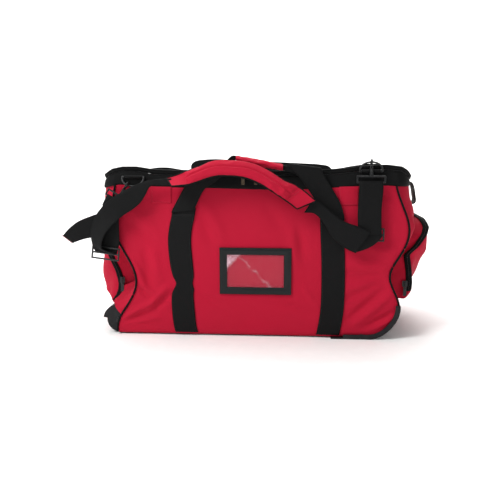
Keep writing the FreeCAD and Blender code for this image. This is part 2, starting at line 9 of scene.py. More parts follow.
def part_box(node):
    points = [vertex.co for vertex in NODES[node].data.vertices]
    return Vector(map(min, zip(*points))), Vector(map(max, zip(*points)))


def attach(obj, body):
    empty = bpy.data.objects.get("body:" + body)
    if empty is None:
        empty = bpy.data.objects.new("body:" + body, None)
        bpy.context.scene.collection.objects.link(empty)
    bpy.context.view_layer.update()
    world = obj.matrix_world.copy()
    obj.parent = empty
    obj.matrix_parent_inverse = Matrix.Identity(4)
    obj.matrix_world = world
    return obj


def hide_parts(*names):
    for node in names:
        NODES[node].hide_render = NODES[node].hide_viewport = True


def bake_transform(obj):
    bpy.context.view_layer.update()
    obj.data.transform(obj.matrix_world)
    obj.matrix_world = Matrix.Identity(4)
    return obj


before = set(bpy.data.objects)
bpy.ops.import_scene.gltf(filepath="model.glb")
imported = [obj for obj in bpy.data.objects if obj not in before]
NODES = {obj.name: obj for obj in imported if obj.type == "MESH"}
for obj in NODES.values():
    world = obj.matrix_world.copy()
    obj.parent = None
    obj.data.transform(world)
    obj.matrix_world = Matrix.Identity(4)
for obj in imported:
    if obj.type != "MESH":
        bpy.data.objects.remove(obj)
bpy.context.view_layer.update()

MM = 0.001

# Levels and planes of the bag, in millimetres, read from the frame
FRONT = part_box("front_panel")[0].y / MM
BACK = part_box("back_panel")[1].y / MM
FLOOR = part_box("front_panel")[0].z / MM
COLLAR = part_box("front_panel")[1].z / MM
COLLAR_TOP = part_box("top_collar")[1].z / MM
LID_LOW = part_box("lid_panel")[0].z / MM
LID_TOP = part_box("lid_panel")[1].z / MM
GUARD_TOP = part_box("skid_guard")[1].z / MM
STITCH_Z = 281.0                 # where the handles leave the webbing
WEB_WIDTH = 52.0
WEB_THICK = 2.2
WEBS = ("body_web_left", "body_web_right")


# ---- reading the frame --------------------------------------------------------------------------
def mesh_points(mesh):
    """Vertices of a mesh, in millimetres."""
    co = np.empty(len(mesh.vertices) * 3)
    mesh.vertices.foreach_get("co", co)
    return co.reshape(-1, 3) / MM


def node_tree(name):
    """A search tree of a CAD node's faces, in millimetres."""
    mesh = NODES[name].data
    return BVHTree.FromPolygons([v.co / MM for v in mesh.vertices], [p.vertices for p in mesh.polygons])


def side_table(left):
    """The front panel's end as heights and X values."""
    pts = mesh_points(NODES["front_panel"].data)
    pts = pts[pts[:, 0] < -200] if left else pts[pts[:, 0] > 200]
    pts = pts[np.argsort(pts[:, 2])]
    return pts[:, 2], pts[:, 0]


SIDES = {True: side_table(True), False: side_table(False)}
END_TREES = {True: node_tree("left_end_panel"), False: node_tree("right_end_panel")}
COLLAR_TREE = node_tree("top_collar")


def seam_x(left, z):
    """X of a corner seam at a height."""
    heights, xs = SIDES[left]
    return float(np.interp(z, heights, xs))


def from_outside(tree, left, y, z):
    """Where a line along X from outside an end first meets a surface."""
    inwards = 1 if left else -1
    return tree.ray_cast(Vector((-600 * inwards, y, z)), Vector((inwards, 0, 0)))[0]


def end_x(left, y, z):
    """X of the end's outer face at a depth and height."""
    if abs(y) > -FRONT - 4:
        return seam_x(left, z)
    hit = from_outside(END_TREES[left], left, y, min(z, COLLAR - 0.5))
    edge = seam_x(left, z)
    if hit is None or abs(hit.x - edge) > 50:
        return edge
    return hit.x


# ---- meshes -------------------------------------------------------------------------------------
def clamped(value):
    """A value kept between 0 and 1."""
    return min(1.0, max(0.0, value))


def smooth_noise(x, y, z, size, seed=0.0):
    """Noise from -1 to 1 whose features are about size across."""
    return noise.noise(Vector((x / size + seed, y / size - seed, z / size + 2 * seed)))


def mesh_object(name, verts, faces, material, uvs=None):
    """A smooth-shaded mesh from points in millimetres. uvs has one (u, v) per vertex, in metres."""
    mesh = bpy.data.meshes.new(name)
    mesh.from_pydata([Vector(v) * MM for v in verts], [], faces)
    mesh.shade_smooth()
    if uvs is not None:
        layer = mesh.uv_layers.new(name="cloth")
        index = np.empty(len(mesh.loops), dtype=int)
        mesh.loops.foreach_get("vertex_index", index)
        layer.data.foreach_set("uv", np.asarray(uvs, float)[index].ravel())
    obj = bpy.data.objects.new(name, mesh)
    bpy.context.scene.collection.objects.link(obj)
    if material:
        mesh.materials.append(material)
    return obj


def grid_faces(rows, cols, closed=False, skip=None):
    """Quads of a grid of points. closed joins the last column to the first."""
    faces = []
    for r in range(rows - 1):
        for c in range(cols if closed else cols - 1):
            d = (c + 1) % cols
            if skip is None or not skip(r, c):
                faces.append((r * cols + c, r * cols + d, (r + 1) * cols + d, (r + 1) * cols + c))
    return faces


def grid_object(name, rows, material, closed=False, skip=None, flip=False):
    """A sheet through rows of points, with its UVs measured along the sheet."""
    pts = np.array(rows, float)
    count, cols = pts.shape[:2]
    length = np.zeros((count, cols))
    across = np.zeros((count, cols))
    across[:, 1:] = np.cumsum(np.linalg.norm(np.diff(pts, axis=1), axis=2), axis=1).mean(0)
    length[1:, :] = np.cumsum(np.linalg.norm(np.diff(pts, axis=0), axis=2), axis=0).mean(1)[:, None]
    uvs = np.stack([across, length], axis=2).reshape(-1, 2) * MM
    faces = grid_faces(count, cols, closed, skip)
    if flip:
        faces = [f[::-1] for f in faces]
    return mesh_object(name, pts.reshape(-1, 3), faces, material, uvs)


def thicken(obj, thickness, offset=-1.0):
    """Gives a sheet its thickness, in millimetres. An offset of -1 grows it behind the sheet."""
    modifier = obj.modifiers.new("thickness", "SOLIDIFY")
    modifier.thickness = thickness * MM
    modifier.offset = offset
    apply_modifiers(obj)
    return obj


def subdivide(obj):
    """Splits each face into four and smooths them."""
    modifier = obj.modifiers.new("smooth", "SUBSURF")
    modifier.levels = modifier.render_levels = 1
    apply_modifiers(obj)


def apply_modifiers(obj):
    """Replaces the mesh by its evaluated one."""
    depsgraph = bpy.context.evaluated_depsgraph_get()
    mesh = bpy.data.meshes.new_from_object(obj.evaluated_get(depsgraph), depsgraph=depsgraph)
    old = obj.data
    obj.modifiers.clear()
    obj.data = mesh
    mesh.name = old.name
    bpy.data.meshes.remove(old)
    obj.data.shade_smooth()


def join(name, objects):
    """One object from several."""
    bpy.ops.object.select_all(action="DESELECT")
    for obj in objects:
        obj.select_set(True)
    bpy.context.view_layer.objects.active = objects[0]
    bpy.ops.object.join()
    objects[0].name = name
    return objects[0]


def set_points(obj, co):
    """Moves an object's vertices to points in millimetres."""
    obj.data.vertices.foreach_set("co", (np.asarray(co) * MM).ravel())
    obj.data.update()


def curve_through(points, steps):
    """Points of a smooth curve (Catmull-Rom) through control rows of any length."""
    p = np.array(points, float)
    p = np.vstack([2 * p[0] - p[1], p, 2 * p[-1] - p[-2]])
    out = []
    for i in range(1, len(p) - 2):
        for k in range(steps):
            t = k / steps
            a, b, c, d = p[i - 1], p[i], p[i + 1], p[i + 2]
            out.append(0.5 * (2 * b + (c - a) * t + (2 * a - 5 * b + 4 * c - d) * t ** 2
                              + (3 * b - a - 3 * c + d) * t ** 3))
    out.append(p[-2])
    return np.array(out)


def unit(v):
    """Vectors scaled to length 1."""
    return v / np.maximum(np.linalg.norm(v, axis=-1, keepdims=True), 1e-9)


def run_along(p):
    """Distance from the start of a line of points, at each point."""
    return np.concatenate([[0], np.cumsum(np.linalg.norm(np.diff(p, axis=0), axis=1))])


def ribbon(name, edges, thick=WEB_THICK, steps=8, wave=0.5, seed=1.0):
    """Flat webbing between two edge curves. A control row is a point of one edge and one of the other."""
    path = curve_through(edges, steps)
    first, second = path[:, :3], path[:, 3:6]
    centre, half_width = (first + second) / 2, (second - first) / 2
    tangent = unit(np.gradient(centre, axis=0))
    normal = unit(np.cross(tangent, half_width))
    length = run_along(centre)
    half = [-1, -0.985, -0.94, -0.6, -0.2, 0.2, 0.6, 0.94, 0.985, 1]
    section = [(s, 0.5) for s in half[1:-1]] + [(1, 0)] + [(s, -0.5) for s in half[-2:0:-1]] + [(-1, 0)]
    rows, uvs = [], []
    for i, middle in enumerate(centre):
        row = []
        for s, t in section:
            edge = 1.0 if abs(s) < 0.97 else 0.6
            ripple = wave * smooth_noise(length[i], s * 20, 0, 28, seed)
            row.append(middle + half_width[i] * s + normal[i] * (t * thick * edge + ripple))
            uvs.append((s * WEB_WIDTH / 2 * MM, length[i] * MM))
        rows.append(row)
    pts = np.array(rows)
    count, cols = pts.shape[:2]
    faces = grid_faces(count, cols, closed=True)
    faces += [tuple(range(cols))[::-1], tuple((count - 1) * cols + c for c in range(cols))]
    return mesh_object(name, pts.reshape(-1, 3), faces, WEBBING, uvs)


def beside(y, rows):
    """Edge rows of webbing whose depths are given from a plane y."""
    return [(x0, y + y0, z0, x1, y + y1, z1) for x0, y0, z0, x1, y1, z1 in rows]


def tube(name, points, radius, material, sides=8, closed=False):
    """Round cord along points."""
    p = np.array(points, float)
    if closed:
        tangent = unit(np.roll(p, -1, 0) - np.roll(p, 1, 0))
    else:
        tangent = unit(np.gradient(p, axis=0))
    helper = np.where(np.abs(tangent[:, 2:3]) > 0.9, [[1.0, 0, 0]], [[0, 0, 1.0]])
    a = unit(np.cross(tangent, helper))
    b = np.cross(tangent, a)
    turn = np.linspace(0, 2 * math.pi, sides, endpoint=False)
    around = np.cos(turn)[None, :, None] * a[:, None] + np.sin(turn)[None, :, None] * b[:, None]
    rows = p[:, None] + radius * around
    count = len(p)
    faces = grid_faces(count, sides, closed=True)
    if closed:
        last = (count - 1) * sides
        faces += [(last + c, last + (c + 1) % sides, (c + 1) % sides, c) for c in range(sides)]
    else:
        faces += [tuple(range(sides))[::-1], tuple((count - 1) * sides + c for c in range(sides))]
    return mesh_object(name, rows.reshape(-1, 3), faces, material)


def stitches(name, lines, material, pitch=3.4, length=2.3, radius=0.32):
    """Rows of short thread stitches along lines of points. Zipper teeth are made the same way."""
    lead = 0.3
    verts, faces = [], []
    for line in lines:
        p = np.array(line, float)
        run = run_along(p)
        for k in range(int(run[-1] // pitch)):
            ends = [np.array([np.interp(k * pitch + e, run, p[:, i]) for i in range(3)])
                    for e in (lead, lead + length)]
            forward = unit(ends[1] - ends[0])
            side = unit(np.cross(forward, [0.13, 1.0, 0.31]))
            up = np.cross(forward, side)
            base = len(verts)
            for share, grow in ((0, 0.4), (0.5, 1.0), (1, 0.4)):
                middle = ends[0] * (1 - share) + ends[1] * share
                verts += [middle + radius * grow * v for v in (side, up, -side, -up)]
            for ring in (0, 4):
                faces += [(base + ring + c, base + ring + (c + 1) % 4, base + ring + 4 + (c + 1) % 4,
                           base + ring + 4 + c) for c in range(4)]
            faces += [(base + 3, base + 2, base + 1, base), tuple(base + 8 + c for c in range(4))]
    return mesh_object(name, verts, faces, material)


def place(obj, body, slot, *nodes):
    """Rides on a body and stands for CAD nodes, which are hidden; the slot argument is not used."""
    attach(obj, body)
    if nodes:
        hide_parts(*nodes)
    return obj


# ---- cloth --------------------------------------------------------------------------------------
def drape(obj, pins, frames=18, slack=0.03, pressure=0.4, gravity=0.3, cap=8.0, bend=0.6):
    """Lets a mesh settle as cloth between its pinned points, and keeps the shape.

    pins is a weight per vertex, slack is how much larger the cloth is cut, and cap is the most that a point
    moves."""
    rest = mesh_points(obj.data)
    group = obj.vertex_groups.new(name="pins")
    for weight in np.unique(np.round(pins, 2)):
        chosen = np.nonzero(np.abs(pins - weight) < 0.006)[0]
        if weight > 0:
            group.add(chosen.tolist(), float(weight), "REPLACE")
    modifier = obj.modifiers.new("cloth", "CLOTH")
    settings = dict(quality=6, mass=0.25, tension_stiffness=20, compression_stiffness=20, shear_stiffness=8,
                    bending_stiffness=bend, tension_damping=8, compression_damping=8, bending_damping=1.0,
                    air_damping=4, vertex_group_mass="pins", pin_stiffness=2.0, shrink_min=-slack,
                    use_pressure=True, uniform_pressure_force=pressure)
    for key, value in settings.items():
        setattr(modifier.settings, key, value)
    modifier.settings.effector_weights.gravity = gravity
    modifier.collision_settings.use_collision = False
    modifier.collision_settings.use_self_collision = False
    scene = bpy.context.scene
    modifier.point_cache.frame_start = 1
    modifier.point_cache.frame_end = frames
    for number in range(1, frames + 1):
        scene.frame_set(number)
    depsgraph = bpy.context.evaluated_depsgraph_get()
    move = mesh_points(obj.evaluated_get(depsgraph).data) - rest
    size = np.linalg.norm(move, axis=1, keepdims=True)
    move *= np.tanh(size / cap) * cap / np.maximum(size, 1e-6)
    obj.modifiers.clear()
    obj.vertex_groups.clear()
    scene.frame_set(1)
    set_points(obj, rest + move)


# ---- materials ----------------------------------------------------------------------------------
class Shader:
    """A Principled material built from short calls."""

    def __init__(self, name, **inputs):
        self.material = bpy.data.materials.new(name)
        self.material.use_nodes = True
        self.tree = self.material.node_tree
        self.shader = self.tree.nodes["Principled BSDF"]
        for key, value in inputs.items():
            self.shader.inputs[key.replace("_", " ")].default_value = value

    def node(self, kind, inputs=(), **settings):
        n = self.tree.nodes.new(kind)
        for key, value in settings.items():
            setattr(n, key, value)
        for key, value in dict(inputs).items():
            if isinstance(value, bpy.types.NodeSocket):
                self.tree.links.new(value, n.inputs[key])
            else:
                n.inputs[key].default_value = value
        return n

    def link(self, socket, target):
        self.tree.links.new(socket, self.shader.inputs[target])

    def math(self, operation, a, b=0.0):
        return self.node("ShaderNodeMath", {0: a, 1: b}, operation=operation).outputs[0]

    def times(self, a, b):
        return self.math("MULTIPLY", a, b)

    def plus(self, a, b):
        return self.math("ADD", a, b)

    def coordinates(self, uv):
        """Metres along the cloth, or metres in the object's own space."""
        if uv:
            return self.node("ShaderNodeUVMap", uv_map="cloth").outputs[0]
        return self.node("ShaderNodeTexCoord").outputs["Object"]

    def noise(self, vector, scale, detail=3.0, rough=0.55):
        inputs = {"Vector": vector, "Scale": scale, "Detail": detail, "Roughness": rough}
        return self.node("ShaderNodeTexNoise", inputs).outputs["Fac"]

    def wave(self, vector, pitch, axis):
        """Bands that repeat every pitch metres."""
        n = self.node("ShaderNodeTexWave", {"Vector": vector, "Scale": 0.314 / pitch, "Distortion": 0.0},
                      bands_direction=axis, wave_profile="SIN")
        return n.outputs["Fac"]

    def ramp(self, factor, low, high):
        """A colour between two, by factor."""
        n = self.node("ShaderNodeMix", {0: factor, 6: (*low, 1.0), 7: (*high, 1.0)}, data_type="RGBA")
        return n.outputs[2]

    def span(self, value, low, high, out_low, out_high):
        """A value from low to high carried over to out_low to out_high."""
        inputs = {0: value, 1: low, 2: high, 3: out_low, 4: out_high}
        return self.node("ShaderNodeMapRange", inputs).outputs[0]

    def bump(self, height, distance, strength=1.0, normal=None):
        inputs = {"Height": height, "Distance": distance, "Strength": strength}
        if normal is not None:
            inputs["Normal"] = normal
        return self.node("ShaderNodeBump", inputs).outputs[0]


def woven(name, colour, dark, rough=0.75, pitch=0.0011, sheen=0.02, mottle=0.5):
    """Woven polyester: crossed threads, a soft mottle and a little fuzz."""
    s = Shader(name, Sheen_Weight=sheen, Sheen_Roughness=0.5, Specular_IOR_Level=0.10)
    at = s.coordinates(True)
    weave = s.times(s.wave(at, pitch, "X"), s.wave(at, pitch, "Y"))
    fine = s.noise(at, 900, 2.0)
    broad = s.noise(s.coordinates(False), 9, 4.0)
    factor = s.plus(s.times(weave, 0.35), s.times(broad, mottle))
    factor = s.plus(factor, s.times(fine, 0.25))
    s.link(s.ramp(factor, dark, colour), "Base Color")
    s.link(s.span(broad, 0.3, 0.7, rough - 0.06, rough + 0.08), "Roughness")
    crumple = s.bump(s.noise(s.coordinates(False), 60, 3.0, 0.6), 0.0012, 0.35)
    s.link(s.bump(weave, 0.0002, 0.6, crumple), "Normal")
    return s.material


def webbing(name, colour, dark):
    """Ribbed webbing with a herringbone and a raised selvage."""
    s = Shader(name, Sheen_Weight=0.02, Sheen_Roughness=0.4, Specular_IOR_Level=0.10, Roughness=0.55)
    at = s.coordinates(True)
    parts = s.node("ShaderNodeSeparateXYZ", {0: at})
    rib = s.wave(at, 0.0017, "Y")
    slant = s.wave(at, 0.0024, "DIAGONAL")
    inside = s.math("LESS_THAN", s.math("ABSOLUTE", parts.outputs[0]), (WEB_WIDTH / 2 - 3) * MM)
    weave = s.times(s.plus(s.times(rib, 0.6), s.times(slant, 0.4)), inside)
    broad = s.noise(s.coordinates(False), 22, 3.0)
    factor = s.plus(s.times(weave, 0.5), s.times(broad, 0.6))
    s.link(s.ramp(factor, dark, colour), "Base Color")
    s.link(s.span(broad, 0.3, 0.7, 0.5, 0.66), "Roughness")
    s.link(s.bump(weave, 0.00035, 0.8), "Normal")
    return s.material


def moulded(name, colour, rough, grain=900, depth=0.0002, wear=0.0, **inputs):
    """Plastic, rubber or vinyl with a fine grain and scuffs."""
    s = Shader(name, **inputs)
    at = s.coordinates(False)
    scuff = s.noise(at, 35, 6.0, 0.7)
    light = tuple(min(1.0, c * (1.6 + wear) + 0.01 * wear) for c in colour)
    s.link(s.ramp(s.span(scuff, 0.45, 0.75, 0.0, 1.0), colour, light), "Base Color")
    s.link(s.span(scuff, 0.3, 0.7, rough - 0.08, rough + 0.1), "Roughness")
    s.link(s.bump(s.noise(at, grain, 2.0), depth, 0.5), "Normal")
    return s.material


def enamel(name, colour, rough, metallic):
    """Painted or plated metal with rubbed patches."""
    s = Shader(name, Metallic=metallic)
    at = s.coordinates(False)
    rub = s.noise(at, 160, 4.0, 0.6)
    bright = tuple(min(1.0, c * 2.2 + 0.02) for c in colour)
    s.link(s.ramp(s.span(rub, 0.55, 0.72, 0.0, 1.0), colour, bright), "Base Color")
    s.link(s.span(rub, 0.3, 0.7, rough - 0.06, rough + 0.12), "Roughness")
    s.link(s.bump(rub, 0.0001, 0.3), "Normal")
    return s.material


def clear_sheet():
    """Clear vinyl with whitened creases that also carry painted glints, and a painted glare in its top left
    corner.
    """
    s = Shader("clear_vinyl", Roughness=0.16, Specular_IOR_Level=0.35, IOR=1.5)
    at = s.coordinates(True)
    parts = s.node("ShaderNodeSeparateXYZ", {0: at})
    u, v = parts.outputs[0], parts.outputs[1]
    wander = s.times(s.math("SUBTRACT", s.noise(at, 40, 3.0), 0.5), 0.03)
    slope = s.plus(s.math("SUBTRACT", u, v), wander)
    crease = s.math("ABSOLUTE", s.math("SUBTRACT", slope, 0.024))
    broken = s.span(s.noise(at, 70, 4.0), 0.34, 0.60, 0.0, 1.0)
    # The crease line is partly real stress-whitening of the vinyl and partly painted glints along the crease.
    line = s.times(s.span(crease, 0.0, 0.006, 1.0, 0.0), broken)
    # Painted glare: a pale reflection painted into the top left corner of the window.
    corner = s.span(s.plus(u, s.times(v, 0.9)), 0.026, 0.040, 1.0, 0.0)
    corner = s.times(corner, s.span(s.noise(at, 50, 3.0), 0.35, 0.6, 0.3, 1.0))
    # The pale colour and the higher alpha paint the corner glare and the crease glints into the sheet itself.
    crease_whitening_and_glare = s.math("MAXIMUM", s.times(line, 0.45), corner)
    s.link(s.ramp(crease_whitening_and_glare, (0.50, 0.16, 0.20), (0.80, 0.62, 0.72)), "Base Color")
    s.link(s.span(crease_whitening_and_glare, 0.0, 1.0, 0.16, 0.85), "Alpha")
    s.link(s.bump(s.noise(at, 26, 2.0), 0.004, 0.5), "Normal")
    return s.material


RED = (0.500, 0.0095, 0.038)
RED_DARK = (0.380, 0.0060, 0.025)          # the gaps between threads, and so for the black
BLACK = (0.0072, 0.0075, 0.0080)
BLACK_DARK = (0.0032, 0.0034, 0.0036)

FABRIC = woven("red_fabric", RED, RED_DARK)
PADDING = woven("red_padding", RED, RED_DARK, rough=0.7, mottle=0.4)
BLACK_FABRIC = woven("black_fabric", BLACK, BLACK_DARK, rough=0.72, sheen=0.01)
WEBBING = webbing("black_webbing", BLACK, BLACK_DARK)
VINYL = moulded("black_vinyl", (0.0065, 0.0085, 0.0095), 0.42, grain=700, Specular_IOR_Level=0.22)
PLASTIC = moulded("black_plastic", (0.0075, 0.008, 0.009), 0.5, wear=0.4, Specular_IOR_Level=0.25)
RUBBER = moulded("tyre_rubber", (0.012, 0.012, 0.012), 0.75, grain=500, wear=0.5)
COIL = moulded("zipper_coil", (0.009, 0.009, 0.010), 0.4)
TAPE = woven("zipper_tape", BLACK, BLACK_DARK, rough=0.8, pitch=0.0008, sheen=0.01)
METAL = enamel("black_metal", (0.014, 0.015, 0.016), 0.34, 0.4)
BRONZE = enamel("bronze_metal", (0.10, 0.075, 0.052), 0.35, 0.9)
STEEL = enamel("zinc_steel", (0.45, 0.46, 0.47), 0.35, 1.0)
RED_THREAD = moulded("red_thread", (0.33, 0.008, 0.026), 0.6)
BLACK_THREAD = moulded("black_thread", (0.022, 0.023, 0.025), 0.6)


# ---- body shell ---------------------------------------------------------------------------------
FRONT_COLUMNS = 78
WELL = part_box("wheel_housing_front")
WELL_Y = (WELL[0].y / MM - 1, WELL[1].y / MM + 1)
WELL_TOP, WELL_X = WELL[1].z / MM, WELL[1].x / MM
HEM_RADIUS = 13.0        # how far the front and back turn under at the floor
BESIDE_SEAM, UNDER_WEBBING, BELOW_COLLAR = 0.5, 0.35, 0.6    # how firmly the cloth is held there, 0 to 1


def shell_heights():
    """Row heights from the collar down to the floor, closer together near the floor."""
    upper = np.linspace(COLLAR + 4, 26, 42)
    return np.concatenate([upper, [20, 15, 11, 8, 6, FLOOR]])


def end_depths():
    """Column depths across an end, including the edges of the wheel wells."""
    edges = [FRONT, WELL_Y[0], WELL_Y[1], -WELL_Y[1], -WELL_Y[0], BACK]
    counts = [2, 4, 35, 4, 2]
    out = []
    for a, b, n in zip(edges, edges[1:], counts):
        out += list(np.linspace(a, b, n, endpoint=False))
    return out


def turn_under(z):
    """How far the front face sits in from its plane at a height."""
    drop = max(0.0, HEM_RADIUS - (z - FLOOR + 3))
    return HEM_RADIUS - math.sqrt(max(0.0, HEM_RADIUS ** 2 - drop ** 2))


def tuck(x, y, z):
    """How far a point near the shell's top drops, to stay under the collar."""
    lowest = COLLAR + seam_lift(x, y)
    top = max(lowest, min(COLLAR + 4, COLLAR_TOP + rim_lift(x, y) - 10))
    return (top - COLLAR - 4) * clamped((z - COLLAR + 40) / 44)


def shell_points():
    """Rows of points once round the body: front, right end, back, left end. Also the points an end has."""
    depths = end_depths()
    rows = []
    for z in shell_heights():
        left, right, under = seam_x(True, z), seam_x(False, z), turn_under(z)
        share = np.linspace(0, 1, FRONT_COLUMNS, endpoint=False)
        row = [(left + (right - left) * s, FRONT + under, z) for s in share]
        row += [(end_x(False, y, z), max(FRONT + under, min(BACK - under, y)), z) for y in depths]
        row += [(right + (left - right) * s, BACK - under, z) for s in share]
        row += [(end_x(True, -y, z), max(FRONT + under, min(BACK - under, -y)), z) for y in depths]
        rows.append([(x, y, z + tuck(x, y, z)) for x, y, z in row])
    return np.array(rows), len(depths)


# How deep the folds are in front and at the back, as shares of their heights, and the crumples of the ends
FRONT_DEPTH, BACK_DEPTH, END_CRUMPLE = 1.35, 0.8, 4.5
# Soft ridges (outwards) and valleys (inwards) in the front panel: from x, z to x, z, half width, height. The
# back has them the other way round.
FOLDS = [
    (-278, 176, -248, 118, 8, 2.5), (-262, 168, -232, 112, 9, -2.5), (-268, 118, -236, 84, 6, -3.5),
    (-258, 124, -224, 92, 6, 2.5), (-240, 66, -196, 112, 7, 4.0), (-228, 60, -186, 98, 7, -3.5),
    (-298, 40, -232, 76, 6, 3.5), (-292, 30, -226, 56, 6, -3.0), (-300, 24, -216, 40, 6, 2.5),
    (-244, 190, -238, 120, 10, -3.5), (-226, 200, -214, 130, 12, 2.5), (-286, 300, -216, 236, 14, 2.5),
    (-288, 262, -230, 218, 12, -2.0), (-122, 290, -92, 214, 14, -3.0), (-104, 296, -66, 226, 14, 2.5),
    (100, 250, 112, 190, 12, -3.5), (88, 240, 96, 170, 12, 2.5), (30, 300, 70, 236, 16, -2.0),
    (216, 44, 296, 118, 9, -4.5), (232, 36, 308, 104, 9, 4.0), (254, 28, 322, 66, 6, -4.0),
    (266, 20, 318, 50, 5, 3.5), (210, 150, 306, 132, 12, -3.0), (214, 170, 316, 156, 12, 3.0),
    (206, 110, 300, 142, 10, 2.5), (212, 92, 288, 132, 9, -3.0), (236, 250, 322, 216, 12, -2.5),
    (226, 214, 318, 190, 12, 2.0), (-120, 96, -60, 60, 12, -2.0), (60, 84, 132, 52, 12, -2.0),
    (110, 120, 146, 70, 10, 2.0), (-300, 330, -236, 318, 8, -2.5), (230, 330, 300, 318, 8, -2.5),
]


def fold_height(x, z):
    """Sum of the folds at points of the front, in millimetres."""
    total = np.zeros_like(x)
    for x0, z0, x1, z1, width, height in FOLDS:
        d = np.array([x1 - x0, z1 - z0], float)
        t = ((x - x0) * d[0] + (z - z0) * d[1]) / (d @ d)
        inside = np.clip(t, 0, 1)
        off = np.hypot(x - x0 - inside * d[0], z - z0 - inside * d[1])
        taper = np.sin(np.pi * (0.15 + 0.7 * inside))
        total += height * taper * np.exp(-(off / width) ** 2)
    return total


def shell_pins(points, ends):
    """Cloth is held at the rims, the corner seams, under the guards and, loosely, under the webbing."""
    count, cols = points.shape[:2]
    pins = np.zeros((count, cols))
    pins[:2] = 1
    pins[2, np.abs(points[2, :, 1]) < -FRONT - 10] = BELOW_COLLAR
    pins[-8:] = 1
    for corner in (0, FRONT_COLUMNS, FRONT_COLUMNS + ends, 2 * FRONT_COLUMNS + ends):
        pins[:, corner] = 1
        for near in ((corner + 1) % cols, corner - 1):
            pins[:, near] = np.maximum(pins[:, near], BESIDE_SEAM)
    x, z = points[..., 0], points[..., 2]
    flat = np.abs(points[..., 1]) > -FRONT - 20
    for name in WEBS:
        low, high = (v.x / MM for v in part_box(name))
        covered = flat & (x > low) & (x < high)
        pins[covered] = np.maximum(pins[covered], UNDER_WEBBING)
    pins[~flat & (z < GUARD_TOP + 8)] = 1
    return pins.ravel()


def body_shell():
    """The red fabric of the front, back and ends as one lofted shell."""
    points, ends = shell_points()
    cols = points.shape[1]

    def in_well(r, c):
        """True for cells that the wheel housings take the place of."""
        z = points[r, c, 2]
        y = abs(points[r, c, 1] + points[r, (c + 1) % cols, 1]) / 2
        return z <= WELL_TOP and -WELL_Y[1] < y < -WELL_Y[0] and points[r, c, 0] < WELL_X + 40

    obj = grid_object("body_shell", points, FABRIC, closed=True, skip=in_well)
    pins = shell_pins(points, ends)
    drape(obj, pins, frames=22, slack=0.035, pressure=0.35, gravity=0.5, cap=7.0, bend=0.5)
    subdivide(obj)
    co = mesh_points(obj.data)
    x, y, z = co.T
    front, back = y < FRONT + 14, y > BACK - 14
    keep = np.clip((z - 14) / 20, 0, 1) * np.clip((COLLAR - z) / 14, 0, 1)
    inset = np.minimum(x - np.interp(z, *SIDES[True]), np.interp(z, *SIDES[False]) - x)
    keep *= np.clip(inset / 16, 0, 1)
    co[:, 1] -= np.where(front, FRONT_DEPTH * fold_height(x, z) * keep, 0)
    co[:, 1] += np.where(back, fold_height(-x, z) * keep * BACK_DEPTH, 0)
    co[:, 1] = np.clip(co[:, 1], FRONT - 7, BACK + 5)
    for i in np.nonzero(~front & ~back & (z > GUARD_TOP + 6))[0]:
        size = min(1.0, (z[i] - GUARD_TOP) / 30) * clamped((COLLAR - 4 - z[i]) / 24)
        co[i, 0] += END_CRUMPLE * size * smooth_noise(0, y[i], z[i], 34, 3.0)
    set_points(obj, co)
    return place(obj, "bag", "red_fabric", "front_panel", "back_panel", "left_end_panel", "right_end_panel")


def tree_of(obj):
    """A search tree of an object's faces, in millimetres."""
    points = list(map(Vector, mesh_points(obj.data)))
    return BVHTree.FromPolygons(points, [p.vertices for p in obj.data.polygons])


def front_y(tree, x, z, back=False):
    """Y of the shell's front (or back) face at a point."""
    way = -1 if back else 1
    hit = tree.ray_cast(Vector((x, -400 * way, z)), Vector((0, way, 0)))[0]
    return hit.y if hit else (BACK if back else FRONT)


def seam_piping(tree):
    """Black piping down the four corner seams."""
    pieces = []
    for left in (True, False):
        for y in (FRONT, BACK):
            heights = np.arange(FLOOR + 4, COLLAR + 2, 4.0)
            out = -1 if left else 1
            path = [(seam_x(left, z) + 0.6 * out, (abs(y) - turn_under(z) + 0.8) * math.copysign(1, y), z)
                    for z in heights]
            pieces.append(tube("piping", path, 2.3, BLACK_FABRIC, sides=10))
    return place(join("corner_piping", pieces), "bag", "black_fabric", "seam_piping")


def corner_gores():
    """The red fabric stretched from a corner seam over a wheel housing to the left pocket, front and back."""
    steps = 26
    heights = np.linspace(132, 47, steps)
    pocket_edge = [(-311, -138, 104), (-312, -138.5, 92), (-320, -142, 79), (-326, -162, 73),
                   (-318, -184, 62), (-303, -188, 46)]
    outer = curve_through(pocket_edge, 5)
    for name, way in (("corner_gore_front", 1), ("corner_gore_back", -1)):
        rows = []
        for i, z in enumerate(heights):
            inner = np.array([seam_x(True, z) - 1.0, FRONT + 1.5, z])
            edge = outer[int(round(i / (steps - 1) * (len(outer) - 1)))]
            middle_z = (z + edge[2]) / 2
            corner = np.array([seam_x(True, middle_z) - 1.5, -140.5, middle_z])
            pull = min(1.0, i / (steps - 1) * 1.7)
            pull = pull * pull * (3 - 2 * pull)
            row = []
            for t in np.linspace(0, 1, 15):
                bent = inner * (1 - t) ** 2 + 2 * corner * t * (1 - t) + edge * t * t
                tight = inner * (1 - t) + edge * t
                point = bent * (1 - pull) + tight * pull
                ripple = 2.2 * math.sin(math.pi * t) * smooth_noise(point[0], point[1], point[2], 22, 3.0)
                row.append((point + np.array([-ripple, -ripple, 0])) * [1, way, 1])
            rows.append(row)
        obj = grid_object(name, rows, FABRIC, flip=way > 0)
        subdivide(obj)
        thicken(obj, 1.2)
        place(obj, "bag", "red_fabric")


